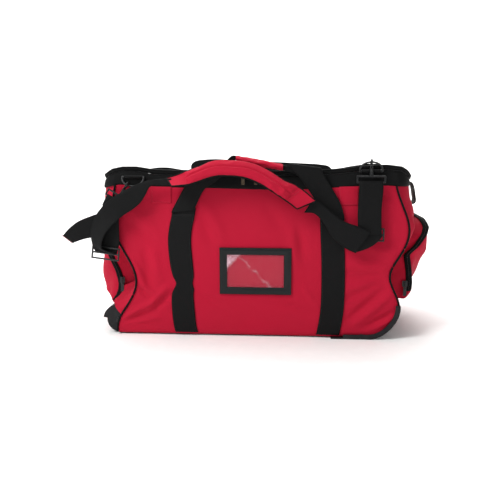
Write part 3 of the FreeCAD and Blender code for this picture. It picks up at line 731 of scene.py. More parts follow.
def base_sheet():
    """The black underside between the two guards, turned up a little along the front and back."""
    left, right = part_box("end_guard")[0].x / MM + 3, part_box("skid_guard")[0].x / MM + 10
    rows = []
    for s in np.linspace(0, 1, 40):
        x = left + (right - left) * s
        row = [(x, y, z) for y, z in ((FRONT + 3, 14), (FRONT + 5, 8), (FRONT + 9, 5), (FRONT + 15, 3.4))]
        row += [(x, y, 2.4 + 0.5 * smooth_noise(x, y, 0, 40)) for y in np.linspace(FRONT + 24, BACK - 24, 24)]
        row += [(x, -y, z) for y, z in ((FRONT + 15, 3.4), (FRONT + 9, 5), (FRONT + 5, 8), (FRONT + 3, 14))]
        rows.append(row)
    obj = grid_object("base_sheet", rows, VINYL)
    thicken(obj, 1.6, 1.0)
    return place(obj, "bag", "black_vinyl", "base_panel")


def inner_floor():
    """Lining over the base board, seen when the lid is open."""
    low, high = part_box("floor_lining")
    rows = []
    for x in np.linspace(low.x / MM + 8, high.x / MM + 12, 50):
        rows.append([(x, y, 9 + 4.6 * math.exp(-((abs(y) - 175) / 14) ** 2) + 0.8 * smooth_noise(x, y, 0, 50))
                     for y in np.linspace(FRONT + 5, BACK - 5, 34)])
    obj = grid_object("inner_floor", rows, BLACK_FABRIC)
    thicken(obj, 1.5)
    return place(obj, "bag", "black_fabric", "floor_lining", "base_board")


# ---- webbing on the body ------------------------------------------------------------------------
def web_path(name):
    """Centre and half width of a body web by height, from the top down: x, z, half width."""
    low, high = (v.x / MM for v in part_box(name))
    middle, half = (low + high) / 2, (high - low) / 2
    if name == "body_web_left":
        rows = [(7, STITCH_Z + 12, 0), (3, 270, 0), (0, 258, 0), (-4, 235, 0), (-5, 210, 0), (-2, 170, 0),
                (2, 140, -2), (4.5, 122, -7), (3, 108, -3), (0, 94, -1), (1, 60, 0), (4, 28, 0), (8, 8, 0)]
    else:
        rows = [(-2, STITCH_Z + 3, 0), (0, 240, 0), (3, 180, 0), (4, 120, 0), (3, 70, 0), (-1, 36, 0),
                (-6, 8, 0)]
    return [(middle + shift, z, half + wider) for shift, z, wider in rows]


def body_web(name, tree):
    """Webbing sewn down the front, under the base and up the back."""
    side = curve_through(web_path(name), 6)
    share = np.linspace(-1, 1, 13)
    front_rows, back_rows = [], []
    for x, z, half in side:
        xs = x + share * half
        for rows, back in ((front_rows, False), (back_rows, True)):
            out = 1 if back else -1
            skin = np.array([front_y(tree, v, z, back) for v in xs])
            ys = 0.35 * skin + 0.65 * skin.mean() + 0.6 * out
            limit = skin + 0.4 * out
            ys = np.maximum(ys, limit) if back else np.minimum(ys, limit)
            rows.append([(v, y + 1.7 * out, z) for v, y in zip(xs, ys)])
    low_front, low_back = np.array(front_rows[-1]), np.array(back_rows[-1])
    under = []
    for s in np.linspace(0.03, 0.97, 26):
        row = low_front * (1 - s) + low_back * s
        row[:, 2] = 1.2 + 6.8 * (2 * s - 1) ** 18
        under.append(row)
    obj = grid_object(f"{name}_strap", front_rows + under + back_rows[::-1], WEBBING, flip=True)
    centre_uv(obj)
    thicken(obj, 1.7)
    return place(obj, "bag", "black_webbing", name)


def centre_uv(obj):
    """Moves the UVs so that u is 0 in the middle of a strip."""
    layer = obj.data.uv_layers["cloth"]
    uv = np.empty(len(layer.data) * 2)
    layer.data.foreach_get("uv", uv)
    uv = uv.reshape(-1, 2)
    uv[:, 0] -= (uv[:, 0].max() + uv[:, 0].min()) / 2
    layer.data.foreach_set("uv", uv.ravel())


def web_stitching(tree):
    """Bars of stitching where each handle leaves its webbing, and rows along the webs' edges."""
    lines = []
    for name in WEBS:
        path = curve_through(web_path(name), 6)
        for back in (False, True):
            out = 1 if back else -1
            for edge in (-0.9, 0.9):
                lines.append([(x + edge * h, front_y(tree, x + edge * h, z, back) + 3.0 * out, z)
                              for x, z, h in path[3:-2]])
            x, z, half = path[2]
            for rise in (-9, -6):
                lines.append([(x + s * half, front_y(tree, x, z, back) + 3.3 * out, z + rise)
                              for s in np.linspace(-0.9, 0.9, 8)])
    return place(stitches("web_stitching", lines, BLACK_THREAD), "bag", "black_webbing")


# ---- front patches and card holder --------------------------------------------------------------
def sewn_patches(tree):
    """Two reinforcing patches below the collar, with their stitching."""
    pieces, lines = [], []
    for x0, x1, z0, z1 in ((-228, -181, 303, COLLAR), (188, 231, 300, COLLAR)):
        rows = []
        for z in np.linspace(z1, z0, 12):
            rows.append([(x, front_y(tree, x, z) - 0.9, z) for x in np.linspace(x0, x1, 14)])
        sheet = grid_object("patch", rows, FABRIC, flip=True)
        thicken(sheet, 0.9)
        pieces.append(sheet)
        inset = 3.0
        corners = [(x0 + inset, z1), (x0 + inset, z0 + inset), (x1 - inset, z0 + inset), (x1 - inset, z1)]
        path = []
        for (xa, za), (xb, zb) in zip(corners, corners[1:]):
            path += [(xa + (xb - xa) * t, za + (zb - za) * t) for t in np.linspace(0, 1, 10, endpoint=False)]
        lines.append([(x, front_y(tree, x, z) - 1.2, z) for x, z in path])
    place(join("sewn_patch_pair", pieces), "bag", "red_fabric", "stitched_patches")
    place(stitches("patch_stitching", lines, RED_THREAD), "bag", "red_fabric")


def card_plane(tree):
    """A smooth plane just in front of the fabric, for the card holder: y from x and z."""
    low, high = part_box("card_frame")
    xs = np.linspace(low.x / MM, high.x / MM, 9)
    zs = np.linspace(low.z / MM, high.z / MM, 7)
    samples = np.array([(x, z, front_y(tree, x, z)) for x in xs for z in zs])
    terms = np.c_[np.ones(len(samples)), samples[:, 0], samples[:, 1]]
    fit = np.linalg.lstsq(terms, samples[:, 2], rcond=None)[0]
    proud = (samples[:, 2] - terms @ fit).min()
    return lambda x, z: fit[0] + fit[1] * x + fit[2] * z + proud - 0.4


def card_holder(tree):
    """Vinyl frame round a clear window."""
    plane = card_plane(tree)
    low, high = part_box("card_frame")
    wlow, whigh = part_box("card_window")
    lap = 8.0
    outer = (low.x / MM, high.x / MM, low.z / MM, high.z / MM)
    inner = (wlow.x / MM + lap, whigh.x / MM - lap, wlow.z / MM + lap, whigh.z / MM - lap)

    def loop(share, rise):
        """A rectangle between the inner and outer edges, with slightly soft corners."""
        x0, x1, z0, z1 = (i * (1 - share) + o * share for i, o in zip(inner, outer))
        pts = []
        corners = [(x0, z0), (x1, z0), (x1, z1), (x0, z1)]
        for (xa, za), (xb, zb) in zip(corners, corners[1:] + corners[:1]):
            for t in (0.0, 0.02, 0.06, *np.linspace(0.12, 0.88, 14), 0.94, 0.98):
                x, z = xa + (xb - xa) * t, za + (zb - za) * t
                pts.append((x, plane(x, z) - rise + 0.25 * smooth_noise(x, 0, z, 26), z))
        return pts

    # Share of the way out and height above the fabric, with a groove at each line of stitching
    section = [(0.0, 0.2), (0.0, 1.0), (0.03, 1.5), (0.10, 1.7), (0.16, 1.35), (0.22, 1.7), (0.5, 1.9),
               (0.78, 1.7), (0.84, 1.35), (0.90, 1.7), (0.97, 1.5), (1.0, 1.0), (1.0, 0.1)]
    ring = grid_object("card_surround", [loop(s, r) for s, r in section], VINYL, closed=True, flip=True)
    place(ring, "bag", "black_vinyl", "card_frame")
    rows = []
    for z in np.linspace(inner[3] + 3, inner[2] - 3, 30):
        rows.append([(x, plane(x, z) - 0.9 - 0.7 * smooth_noise(x, 0, z, 30, 5.0), z)
                     for x in np.linspace(inner[0] - 3, inner[1] + 3, 44)])
    window = grid_object("clear_window", rows, clear_sheet(), flip=True)
    place(window, "bag", "clear_vinyl", "card_window")
    lines = [loop(0.16, 1.9), loop(0.84, 1.9)]
    place(stitches("card_stitching", lines, BLACK_THREAD, radius=0.28), "bag", "black_vinyl")


# ---- rim, zipper and lid ------------------------------------------------------------------------
RIGHT_BULGE = 3.0        # how far the rim swells out in the middle of the right end


def rim_half(left, inset):
    """Half of the rim's plan, an end from front to back, as (x, y)."""
    out = []
    span = -FRONT - inset
    for share in np.sin(np.linspace(-math.pi / 2, math.pi / 2, 41)):
        hit = from_outside(COLLAR_TREE, left, share * (-FRONT - 0.5), (COLLAR + COLLAR_TOP) / 2)
        x = hit.x if hit else seam_x(left, COLLAR)
        bulge = 0.0 if left else RIGHT_BULGE * (1 - share ** 4)
        out.append((x + bulge + (inset if left else -inset), share * span))
    return out


def rim_plan(inset=0.0, front_steps=70):
    """The rim once round, seen from above: left end from the back, front, right end and back."""
    left, right = rim_half(True, inset)[::-1], rim_half(False, inset)
    front = [(left[-1][0] + (right[0][0] - left[-1][0]) * s, FRONT + inset)
             for s in np.linspace(0, 1, front_steps, endpoint=False)[1:]]
    back = [(right[-1][0] + (left[0][0] - right[-1][0]) * s, BACK - inset)
            for s in np.linspace(0, 1, front_steps, endpoint=False)[1:]]
    return left + front + right + back


# Heights along the front, as x and how far above level: of the rim, and of the seam between the collar and
# the red panels. Then how far the rim sags at the back.
RIM_LIFT = [(-355, -14), (-342, -11), (-330, -6), (-314, 3), (-290, 8), (-258, 8), (-224, 2), (-132, -2),
            (60, -1), (146, 2), (199, 5), (236, 10), (290, 13), (322, 9), (336, 1), (346, -9), (360, -18)]
SEAM_LIFT = [(-352, -6), (-330, 0), (-300, 6), (-225, 1), (-100, -1), (70, -5), (150, -1), (220, 4), (290, 6),
             (340, 3)]
BACK_SAG = [(-355, 9), (-300, 14), (225, 14), (320, 4)]
LEFT_SLUMP = 7.0         # how far the collar's seam drops towards the back of the left end


def along(table, x):
    """Value at x of a table of x and value."""
    return float(np.interp(x, *zip(*table)))


def backness(y):
    """0 at the front, 1 at the back."""
    return clamped((y - FRONT) / (BACK - FRONT))


def rim_lift(x, y=FRONT):
    """How far the rim stands above its level: up near the corners, down at the ends and along the back."""
    return along(RIM_LIFT, x) - along(BACK_SAG, x) * backness(y) ** 1.3


def seam_lift(x, y=FRONT):
    """How far the seam under the collar stands above its level."""
    return along(SEAM_LIFT, x) - LEFT_SLUMP * backness(y) * along([(-340, 1), (-312, 0)], x)


def collar_skin():
    """The black band above the red panels, with a fold along its lower edge."""
    rows = []
    low = COLLAR - 4
    levels = [(low, 0.6), (COLLAR - 3.4, -0.9), (COLLAR, -1.6), (COLLAR + 4, -1.5), (COLLAR + 9, -1.0),
              (COLLAR + 14, -0.4), (COLLAR + 18, 0.4), (COLLAR_TOP - 1, 1.2), (COLLAR_TOP + 0.5, 2.6)]
    right_tuck, left_swell = 2.0, 2.2
    for z, inset in levels:
        row = []
        share = clamped((z - COLLAR) / (COLLAR_TOP - COLLAR))
        for x, y in rim_plan(inset, 110):
            x -= right_tuck * max(0.0, 1 - (z - COLLAR + 4) / 12) * clamped((x - 325) / 18)
            buckle = 2.2 * smooth_noise(x, y, z * 0.6, 38, 2.0) * math.sin(math.pi * share)
            outward = Vector((x * 0.4, y, 0)).normalized()
            lift = share * rim_lift(x, y) + (1 - share) * seam_lift(x, y)
            if z > low:
                x -= left_swell * along([(-335, 1), (-316, 0)], x)
            row.append((x + outward.x * buckle, y + outward.y * buckle, z + lift))
        rows.append(row)
    obj = grid_object("collar_band", rows, BLACK_FABRIC, closed=True)
    subdivide(obj)
    thicken(obj, 1.4)
    return place(obj, "bag", "black_fabric", "top_collar")


def zipper_half(name, low, high, body, node):
    """Tape and coil of half of the lid's zipper, along the ends and the front."""
    plan = [(x, y) for x, y in rim_plan(2.2, 110) if y < BACK - 22]
    line = curve_through([(x, y, 0) for x, y in plan], 3)
    rows = [[(x, y, z + rim_lift(x, y)) for x, y, _ in line] for z in (low, (low + high) / 2, high)]
    tape = grid_object(name + "_tape", rows, TAPE)
    thicken(tape, 0.8)
    coil_z = high - 0.5 if low < (COLLAR_TOP + LID_LOW) / 2 - 1 else low + 0.5
    teeth = [[(x, y - 0.2, coil_z + rim_lift(x, y)) for x, y, _ in line]]
    coil = stitches(name + "_coil", teeth, COIL, pitch=2.0, length=1.3, radius=0.9)
    place(join(name, [tape, coil]), body, "zipper_tape", node)


def lid_skin():
    """The lid: a sheet that sags between its raised ends, with a rolled edge and a turned-down border."""
    centre = Vector((2.0, 0.0))
    rings = []
    border = [(0.4, LID_LOW - 0.2), (-0.8, LID_LOW + 1.6), (-1.2, LID_LOW + 4), (-0.4, LID_LOW + 6.4),
              (1.8, LID_TOP - 0.2), (5.0, LID_TOP + 0.8)]
    for inset, z in border:
        rings.append([(x, min(y, BACK - 4 - max(inset, 0)), z + rim_lift(x, y))
                      for x, y in rim_plan(inset, 60)])
    edge = rings[-1]
    for share in (0.97, 0.93, 0.87, 0.8, 0.72, 0.62, 0.52, 0.42, 0.32, 0.22, 0.12, 0.03):
        ring = []
        for x, y, z in edge:
            px, py = centre.x + (x - centre.x) * share, centre.y + (y - centre.y) * share
            sag = 7.0 * (1 - share ** 2) * (1 - 0.3 * min(1, abs(px) / 300))
            ring.append((px, py, LID_TOP + 0.6 - sag + rim_lift(px, py)))
        rings.append(ring)
    pts = np.array(rings)
    obj = grid_object("lid_skin", pts, BLACK_FABRIC, closed=True)
    pins = np.zeros(pts.shape[:2])
    pins[:7] = 1
    drape(obj, pins.ravel(), frames=16, slack=0.03, pressure=0.05, gravity=0.8, cap=6.0, bend=0.4)
    cap_middle(obj, pts.shape)
    subdivide(obj)
    thicken(obj, 1.2)
    return place(obj, "lid", "black_fabric", "lid_panel")


def cap_middle(obj, shape, flip=False):
    """Closes the hole in the innermost ring of a sheet made of rings."""
    rings, cols = shape[:2]
    first = (rings - 1) * cols
    faces = [tuple(p.vertices) for p in obj.data.polygons]
    co = mesh_points(obj.data)
    middle = co[first:].mean(0)
    uv_layer = obj.data.uv_layers["cloth"]
    uvs = np.zeros((len(co) + 1, 2))
    for loop, data in zip(obj.data.loops, uv_layer.data):
        uvs[loop.vertex_index] = data.uv
    for c in range(cols):
        ends = (first + c, first + (c + 1) % cols)
        faces.append((ends[::-1] if flip else ends) + (len(co),))
    mesh = bpy.data.meshes.new(obj.data.name)
    mesh.from_pydata([Vector(v) * MM for v in np.vstack([co, middle])], [], faces)
    mesh.shade_smooth()
    layer = mesh.uv_layers.new(name="cloth")
    layer.data.foreach_set("uv", uvs[[loop.vertex_index for loop in mesh.loops]].ravel())
    mesh.materials.append(obj.data.materials[0])
    obj.data = mesh


def calm_middle(obj, shape, shares):
    """Evens out the rings of a draped sheet, more towards its middle, where they are small."""
    rings = mesh_points(obj.data).reshape(*shape)
    for ring, share in zip(rings[2:], shares[2:]):
        for _ in range(min(240, int(1.6 / share ** 2))):
            ring[:] = ring / 2 + (np.roll(ring, 1, axis=0) + np.roll(ring, -1, axis=0)) / 4
    set_points(obj, rings.reshape(-1, 3))


def lid_piping():
    """A cord sewn into the lid's top edge."""
    plan = [(x, y) for x, y in rim_plan(-0.6, 90) if y < BACK - 6]
    line = curve_through([(x, y, 0) for x, y in plan], 2)
    path = [(x, y, LID_TOP - 1.2 + rim_lift(x, y)) for x, y, _ in line]
    return place(tube("lid_piping", path, 1.7, BLACK_FABRIC, sides=8), "lid", "black_fabric")


def lid_hinge_cloth():
    """The back of the lid, one piece of cloth from the collar to the lid's rear edge."""
    left, right = seam_x(True, COLLAR) - 6, seam_x(False, COLLAR) + 6
    rows = []
    for y, z in ((BACK + 0.6, COLLAR + 6), (BACK + 0.6, COLLAR + 12), (BACK + 0.4, COLLAR_TOP - 1),
                 (BACK - 0.4, COLLAR_TOP + 3), (BACK - 2, LID_LOW + 3), (BACK - 4, LID_TOP - 1),
                 (BACK - 9, LID_TOP + 0.6), (BACK - 18, LID_TOP + 0.9)):
        rows.append([(x, y, z + rim_lift(x, y)) for x in np.linspace(left, right, 70)])
    obj = grid_object("lid_hinge_cloth", rows, BLACK_FABRIC, flip=True)
    subdivide(obj)
    thicken(obj, 1.0, 1.0)
    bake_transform(obj)


# ---- end pockets --------------------------------------------------------------------------------
POCKET_LOW = {"left": 59.0, "right": 80.0}
POCKET_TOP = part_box("left_pocket_flap")[1].z / MM
POCKET_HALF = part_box("left_pocket_slider")[1].y / MM * -1 - 1.9
POCKET_ROUND = 70.0      # radius of the arch's corners
# How far each pocket's zipper reaches, and its face in the middle, by height: z, zipper x, face x
POCKET_SHAPE = {
    "left": [(59, -338, -349), (70, -331, -358), (80, -323, -371), (92, -318, -366), (106, -316, -376),
             (120, -318, -384), (136, -322, -386), (150, -328, -383), (165, -335, -376), (182, -341, -371),
             (218, -352, -367), (262, -360, -361)],
    "right": [(80, 346, 364), (88, 351, 368), (100, 354, 374), (118, 356, 377), (144, 354, 383),
              (171, 350, 391), (185, 348, 396), (204, 369, 401), (230, 388, 402), (245, 394, 401),
              (262, 389, 391)],
}


def pocket_outline(low, count):
    """The pocket seen from the end, as (y, z): a leg, the arch, the other leg and back along the bottom."""
    half, top, r, foot = POCKET_HALF - 1, POCKET_TOP - 1, POCKET_ROUND, 8.0
    turns = np.linspace(0, math.pi / 2, 12, endpoint=False)
    pts = [(-half, z) for z in np.linspace(low + foot, top - r, 12, endpoint=False)]
    pts += [(-half + r - r * math.cos(a), top - r + r * math.sin(a)) for a in turns]
    pts += [(y, top) for y in np.linspace(-half + r, half - r, 13, endpoint=False)]
    pts += [(half - r + r * math.sin(a), top - r + r * math.cos(a)) for a in turns]
    pts += [(half, z) for z in np.linspace(top - r, low + foot, 13)]
    pts += [(half - foot + foot * math.cos(a), low + foot - foot * math.sin(a)) for a in turns[3::3]]
    pts += [(y, low) for y in np.linspace(half - foot, foot - half, 20)]
    pts += [(foot - half - foot * math.sin(a), low + foot - foot * math.cos(a)) for a in turns[3::3]]
    pts.append(pts[0])
    run = np.concatenate([[0], np.cumsum(np.hypot(*np.diff(np.array(pts), axis=0).T))])
    at = np.linspace(0, run[-1], count, endpoint=False)
    return np.c_[np.interp(at, run, [p[0] for p in pts]), np.interp(at, run, [p[1] for p in pts])]


def pocket_reach(side, z):
    """X of the zipper and of the bulge at a height."""
    table = np.array(POCKET_SHAPE[side], float)
    return np.interp(z, table[:, 0], table[:, 1]), np.interp(z, table[:, 0], table[:, 2])


def pocket(side, tree):
    """Gusset, zipper and the flap that closes it."""
    out = -1 if side == "left" else 1
    outline = pocket_outline(POCKET_LOW[side], 132)
    gusset_rows, zip_line = [], []
    for share in np.linspace(0, 1, 11):
        row = []
        for y, z in outline:
            hit = tree.ray_cast(Vector((600 * out, y, z)), Vector((-out, 0, 0)))[0]
            root = (hit.x if hit else end_x(side == "left", y, z)) - 3 * out
            edge = pocket_reach(side, z)[0]
            edge = root + out * max(7.0, (edge - root) * out)
            x = root + (edge - root) * share
            middle = math.sin(math.pi * share)
            pinch = 5.0 * middle * smooth_noise(x, y, z, 30, 7.0) - 2.5 * middle
            ny, nz = y / POCKET_HALF, max(0.0, (z - 170) / 90)
            row.append((x, y + pinch * ny, z + pinch * nz))
            if share == 1:
                zip_line.append((x, y, z))
        gusset_rows.append(row)
    gusset = grid_object(f"{side}_pocket_side", gusset_rows, FABRIC, closed=True, flip=side == "left")
    subdivide(gusset)
    thicken(gusset, 1.2)
    place(gusset, "bag", "red_fabric", f"{side}_pocket_gusset")
    pocket_zip(side, zip_line, out)
    pocket_flap(side, zip_line, out)


def pocket_zip(side, line, out):
    """Tape and coil round the pocket's mouth."""
    foot = 96 if side == "right" else POCKET_LOW[side] + 8
    p = curve_through([point for point in line if point[2] >= foot], 2)
    centre = p.mean(0)
    outward = unit((p - centre) * [0, 1, 1])
    rows = [p + outward * lift + np.array([shift * out, 0, 0])
            for shift, lift in ((-7, 0.6), (-4, 1.6), (0, 2.1), (4, 1.6), (7, 0.2))]
    tape = grid_object("tape", rows, TAPE, flip=side == "left")
    thicken(tape, 0.8)
    coil = stitches("coil", [p + outward * 2.4], COIL, pitch=2.4, length=1.6, radius=1.6)
    place(join(f"{side}_pocket_zip", [tape, coil]), "bag", "zipper_tape", f"{side}_pocket_zipper")


def pocket_flap(side, line, out):
    """The pocket's outer face: a slack dome whose foot stays sewn to the bag."""
    rows = []
    low = POCKET_LOW[side]
    middle = low + 82                # height of the point that the rings close on
    shares = (1.0, 0.985, 0.95, 0.9, 0.82, 0.72, 0.6, 0.48, 0.36, 0.24, 0.12, 0.03)
    for share in shares:
        row = []
        for x, y, z in line:
            py, pz = y * share, z * share + (1 - share) * middle
            edge, bulge = pocket_reach(side, pz)
            dome = (1 - share ** 2.6) ** 0.5
            rim_x = x * share + (1 - share) * edge
            px = rim_x + (bulge - edge) * dome
            px += out * 4.0 * dome * smooth_noise(0, py, pz, 42, 9.0)
            row.append((px, py, pz))
        rows.append(row)
    pts = np.array(rows)
    obj = grid_object(f"{side}_pocket_face", pts, FABRIC, closed=True, flip=side == "left")
    pins = np.zeros(pts.shape[:2])
    pins[:2] = 1
    pins[pts[..., 2] < low + 9] = 1
    drape(obj, pins.ravel(), frames=16, slack=0.05, pressure=0.25, gravity=0.8, cap=7.0, bend=0.4)
    calm_middle(obj, pts.shape, shares)
    cap_middle(obj, pts.shape, flip=side == "left")
    subdivide(obj)
    thicken(obj, 1.2)
    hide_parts(f"{side}_pocket_flap")
    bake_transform(obj)


# ---- handles ------------------------------------------------------------------------------------
def front_handle(tree):
    """The front handle's webbing: gathered into the wrap at the left, folded over at the right."""
    low_left, low_right = (front_y(tree, x, STITCH_Z) - 4.8 for x in (-160, 175))
    left = [(-181, low_left, 283, -129, low_left, 289), (-180, low_left, 288, -128, low_left, 294),
            (-158, -198, 328, -108, -198.5, 333), (-140, -201, 355, -84, -201.5, 350),
            (-112, -204, 380, -70, -202.5, 362), (-84, -206, 390, -58, -202, 376),
            (-60, -206.5, 396, -47, -202, 386), (-45, -206, 408, -40, -201, 398),
            (-30, -206, 406, -30, -200, 397)]
    right = [(76, -206.5, 391, 149, -205.5, 381), (88, -205.5, 377, 152, -204, 371),
             (112, -201.5, 348, 167, -201, 347), (137, -198.8, 310, 190, -198.4, 308),
             (148, low_right, 286, 199, low_right, 282), (149, low_right, 268, 201, low_right, 268)]
    fold = [(77, -206, 390.6, 148, -205, 380.4), (76, -203.5, 391.8, 147, -202.8, 381.6),
            (78, -200.8, 389, 132, -200.4, 374), (80, -200.2, 386, 108, -200, 366),
            (70, -202, 387, 77, -200.5, 374), (56, -203, 388.5, 57, -201, 380)]
    pieces = [ribbon("leg", edges, steps=9, wave=wave, seed=seed)
              for edges, wave, seed in ((left, 0.5, 2.0), (right, 0.5, 5.0), (fold, 0.2, 6.0))]
    obj = join("front_handle_strap", pieces)
    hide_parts("front_handle_legs", "front_handle_web")
    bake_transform(obj)


def handle_wrap():
    """The padded wrap: a roll closed by a flap whose edge shows along the front."""
    low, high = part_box("handle_wrap")
    centre_y = (low.y + high.y) / 2 / MM
    x0, x1 = low.x / MM + 1, high.x / MM - 1
    half_depth, half_height, slope = 11.5, 7.0, math.tan(math.radians(10.5))
    stations, around = 34, 40
    rows = []
    for s in np.linspace(0, 1, stations):
        x = x0 + (x1 - x0) * s
        z = high.z / MM - 18.0 - slope * (x - (x0 + x1) / 2)
        end = 1 - 0.16 * (abs(2 * s - 1) ** 8)
        row = []
        for k in range(around):
            a = 2 * math.pi * k / around
            crease = smooth_noise(x, math.cos(a) * 20, math.sin(a) * 20, 16)
            radial = 1 + 0.06 * math.cos(4 * a) + 0.02 * crease
            if 0.14 < k / around < 0.62:          # under the flap
                radial += 0.09
            row.append((x, centre_y - half_depth * math.sin(a) * radial * end,
                        z + half_height * math.cos(a) * radial * end))
        rows.append(row)
    obj = grid_object("wrap_pad", rows, PADDING, closed=True)
    pins = np.zeros((stations, around))
    pins[:2] = pins[-2:] = 1
    pins[:, 22] = pins[:, 30] = 0.8
    drape(obj, pins.ravel(), frames=12, slack=0.02, pressure=1.5, gravity=0.0, cap=1.6, bend=0.5)
    subdivide(obj)
    thicken(obj, 1.6)
    place(obj, "front_handle", "red_padding", "handle_wrap")


def rear_handle(tree):
    """The rear handle: one loop of webbing from the back."""
    rows = [(-186, 268, -134, 268, 0), (-188, 310, -134, 308, 0), (-195, 350, -133, 332, 0),
            (-202, 374, -124, 343, 0), (-190, 389, -112, 347, 0), (-160, 394, -103, 349, 0),
            (-122, 395, -95, 350, 0), (-60, 391, -50, 345, 1), (20, 388, 18, 341, 2), (110, 384, 86, 339, 1),
            (160, 381, 112, 335, 0), (188, 374, 130, 328, 0), (198, 350, 145, 315, 0),
            (201, 310, 149, 300, 0), (201, 268, 149, 268, 0)]
    lean = math.tan(math.radians(7))
    edges = [(x0, 194.8 + (z0 - 266) * lean + push, z0, x1, 194.8 + (z1 - 266) * lean + push, z1)
             for x0, z0, x1, z1, push in rows]
    obj = ribbon("rear_handle_strap", edges, wave=0.8, seed=8.0)
    place(obj, "rear_handle", "black_webbing", "rear_handle_web")


def grab_loops():
    """A folded loop of webbing at each end."""
    for side in ("left", "right"):
        low, high = (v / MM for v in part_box(f"grab_loop_{side}"))
        out = -1 if side == "left" else 1
        slope = (high.x - low.x - 19) * out
        half, fold = WEB_WIDTH / 2 - 1, 8.2
        turns = [(-0.1, 0.03), (0.7, 0.10), (1, 0.3), (1, 0.6), (0.9, 0.88), (0, 0.99), (-0.9, 0.88),
                 (-1, 0.6), (-1, 0.3), (-0.7, 0.10), (-0.1, 0.03)]
        edges = []
        for dx, share in turns:
            x = (low.x + high.x) / 2 - slope / 2 + slope * share + fold * dx
            z = high.z + (low.z - high.z) * share
            edges.append((x, -half, z, x, half, z))
        obj = ribbon(f"grab_strap_{side}", edges, steps=6, wave=0.3, seed=3.0)
        place(obj, f"grab_loop_{side}", "black_webbing", f"grab_loop_{side}")


# ---- shoulder strap -----------------------------------------------------------------------------
STRAP_Y = (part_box("shoulder_web")[0].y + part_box("shoulder_web")[1].y) / 2 / MM


def strap_runs():
    """The strap's long run on the left and its run from the pad to the fold on the right."""
    left = [(-176, -6, 360, -170, -8, 346), (-200, -3, 358, -194, -3, 345), (-219, -1, 356, -221, -1, 344),
            (-238, 1, 352, -235, -1, 322), (-264, 1, 342, -246, -1, 306), (-290, 1, 328, -264, 0, 291),
            (-318, 1, 310, -286, -1, 277), (-344, 2, 283, -304, -3, 261), (-359, 5, 254, -320, -5, 245),
            (-363, 9, 230, -331, -7, 225), (-360, 9, 209, -334, -4, 203), (-356, 10, 198, -310, 6, 192),
            (-355, 12, 193, -306, 11, 187.5), (-355, 14.5, 196, -306, 14, 190)]
    right = [(112, -4, 287, 132, -4, 318), (135, -2, 284, 152, -2, 304), (155, 0, 264, 172, -1, 287),
             (174, 1, 234, 200, 0, 268), (202, -1, 210, 231, -1, 257), (225, -1, 199, 256, -1, 246)]
    for name, rows, seed in (("strap_run_left", left, 4.0), ("strap_run_right", right, 6.0)):
        obj = ribbon(name, beside(STRAP_Y, rows), steps=9, wave=0.6, seed=seed)
        if name == "strap_run_left":
            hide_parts("shoulder_web")
        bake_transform(obj)


def strap_ends():
    """The parts of the strap that stay on the bag: doubled ends, the fold at the right and the loose tail."""
    y = STRAP_Y + 10.4
    right_x, slide_z, half = 255.0, 238.0, 25.5
    doubled = [(1, 3.2, slide_z + 2), (-1, 3.4, 290), (0.5, 3.0, 340), (0, 2.2, 351), (0, -0.6, 354.2),
               (0, -3.0, 350), (0.5, -3.8, 335), (-2, -4.4, 290), (0, -4.2, slide_z + 6),
               (1, -4.0, slide_z + 1)]
    doubled = [(right_x + x - half, depth, z, right_x + x + half, depth, z) for x, depth, z in doubled]
    fold = [(229, -1, 246, 281, -1, 240), (229, -4.4, 243, 281, -4.4, 234), (232, -6.6, 243, 268, -6.6, 220),
            (234, -8, 244, 250, -8, 209), (240, -8.6, 243, 228, -8.6, 201)]
    back_run = [(-356, 2.2, 196, -306, 2.0, 190), (-350, 2.6, 214, -300, 2.6, 212),
                (-347, 2.0, 240, -299, 2.0, 242), (-343, 1.0, 274, -298, 1.0, 272),
                (-332, 0.6, 304, -290, 0.6, 286),
                (-322, -0.6, 322, -279, -0.6, 295), (-322, -2.6, 323, -279, -2.6, 296),
                (-325, -4.0, 318, -282, -4.0, 291), (-334, -4.4, 300, -292, -4.4, 278)]
    tail = [(-318, 5.0, 284, -326, 5.0, 232), (-345, 5.2, 280, -345, 5.2, 228),
            (-364, 5.0, 274, -366, 4.6, 225), (-391, 4.4, 263, -384, 3.6, 221),
            (-412, 3.6, 248, -396, 2.6, 217), (-429, 3.0, 230, -406, 2.0, 213)]
    for name, rows, node in (("strap_doubled", doubled, ["strap_end_right"]), ("strap_fold", fold, []),
                             ("strap_return", back_run, ["strap_end_left"]), ("strap_tail", tail, [])):
        obj = ribbon(name, beside(y, rows), thick=1.9, wave=0.3, seed=9.0)
        place(obj, "bag", "black_webbing", *node)
    cut_edge = [(-430, y + 3.0, 230.5), (-420, y + 2.6, 223), (-406.5, y + 2.0, 213)]
    lines = [cut_edge, [(a - 1, b - 0.6, c) for a, b, c in cut_edge]]
    thread = stitches("tail_thread", lines, RED_THREAD, pitch=2.2, length=2.0, radius=0.7)
    place(thread, "bag", "black_webbing")


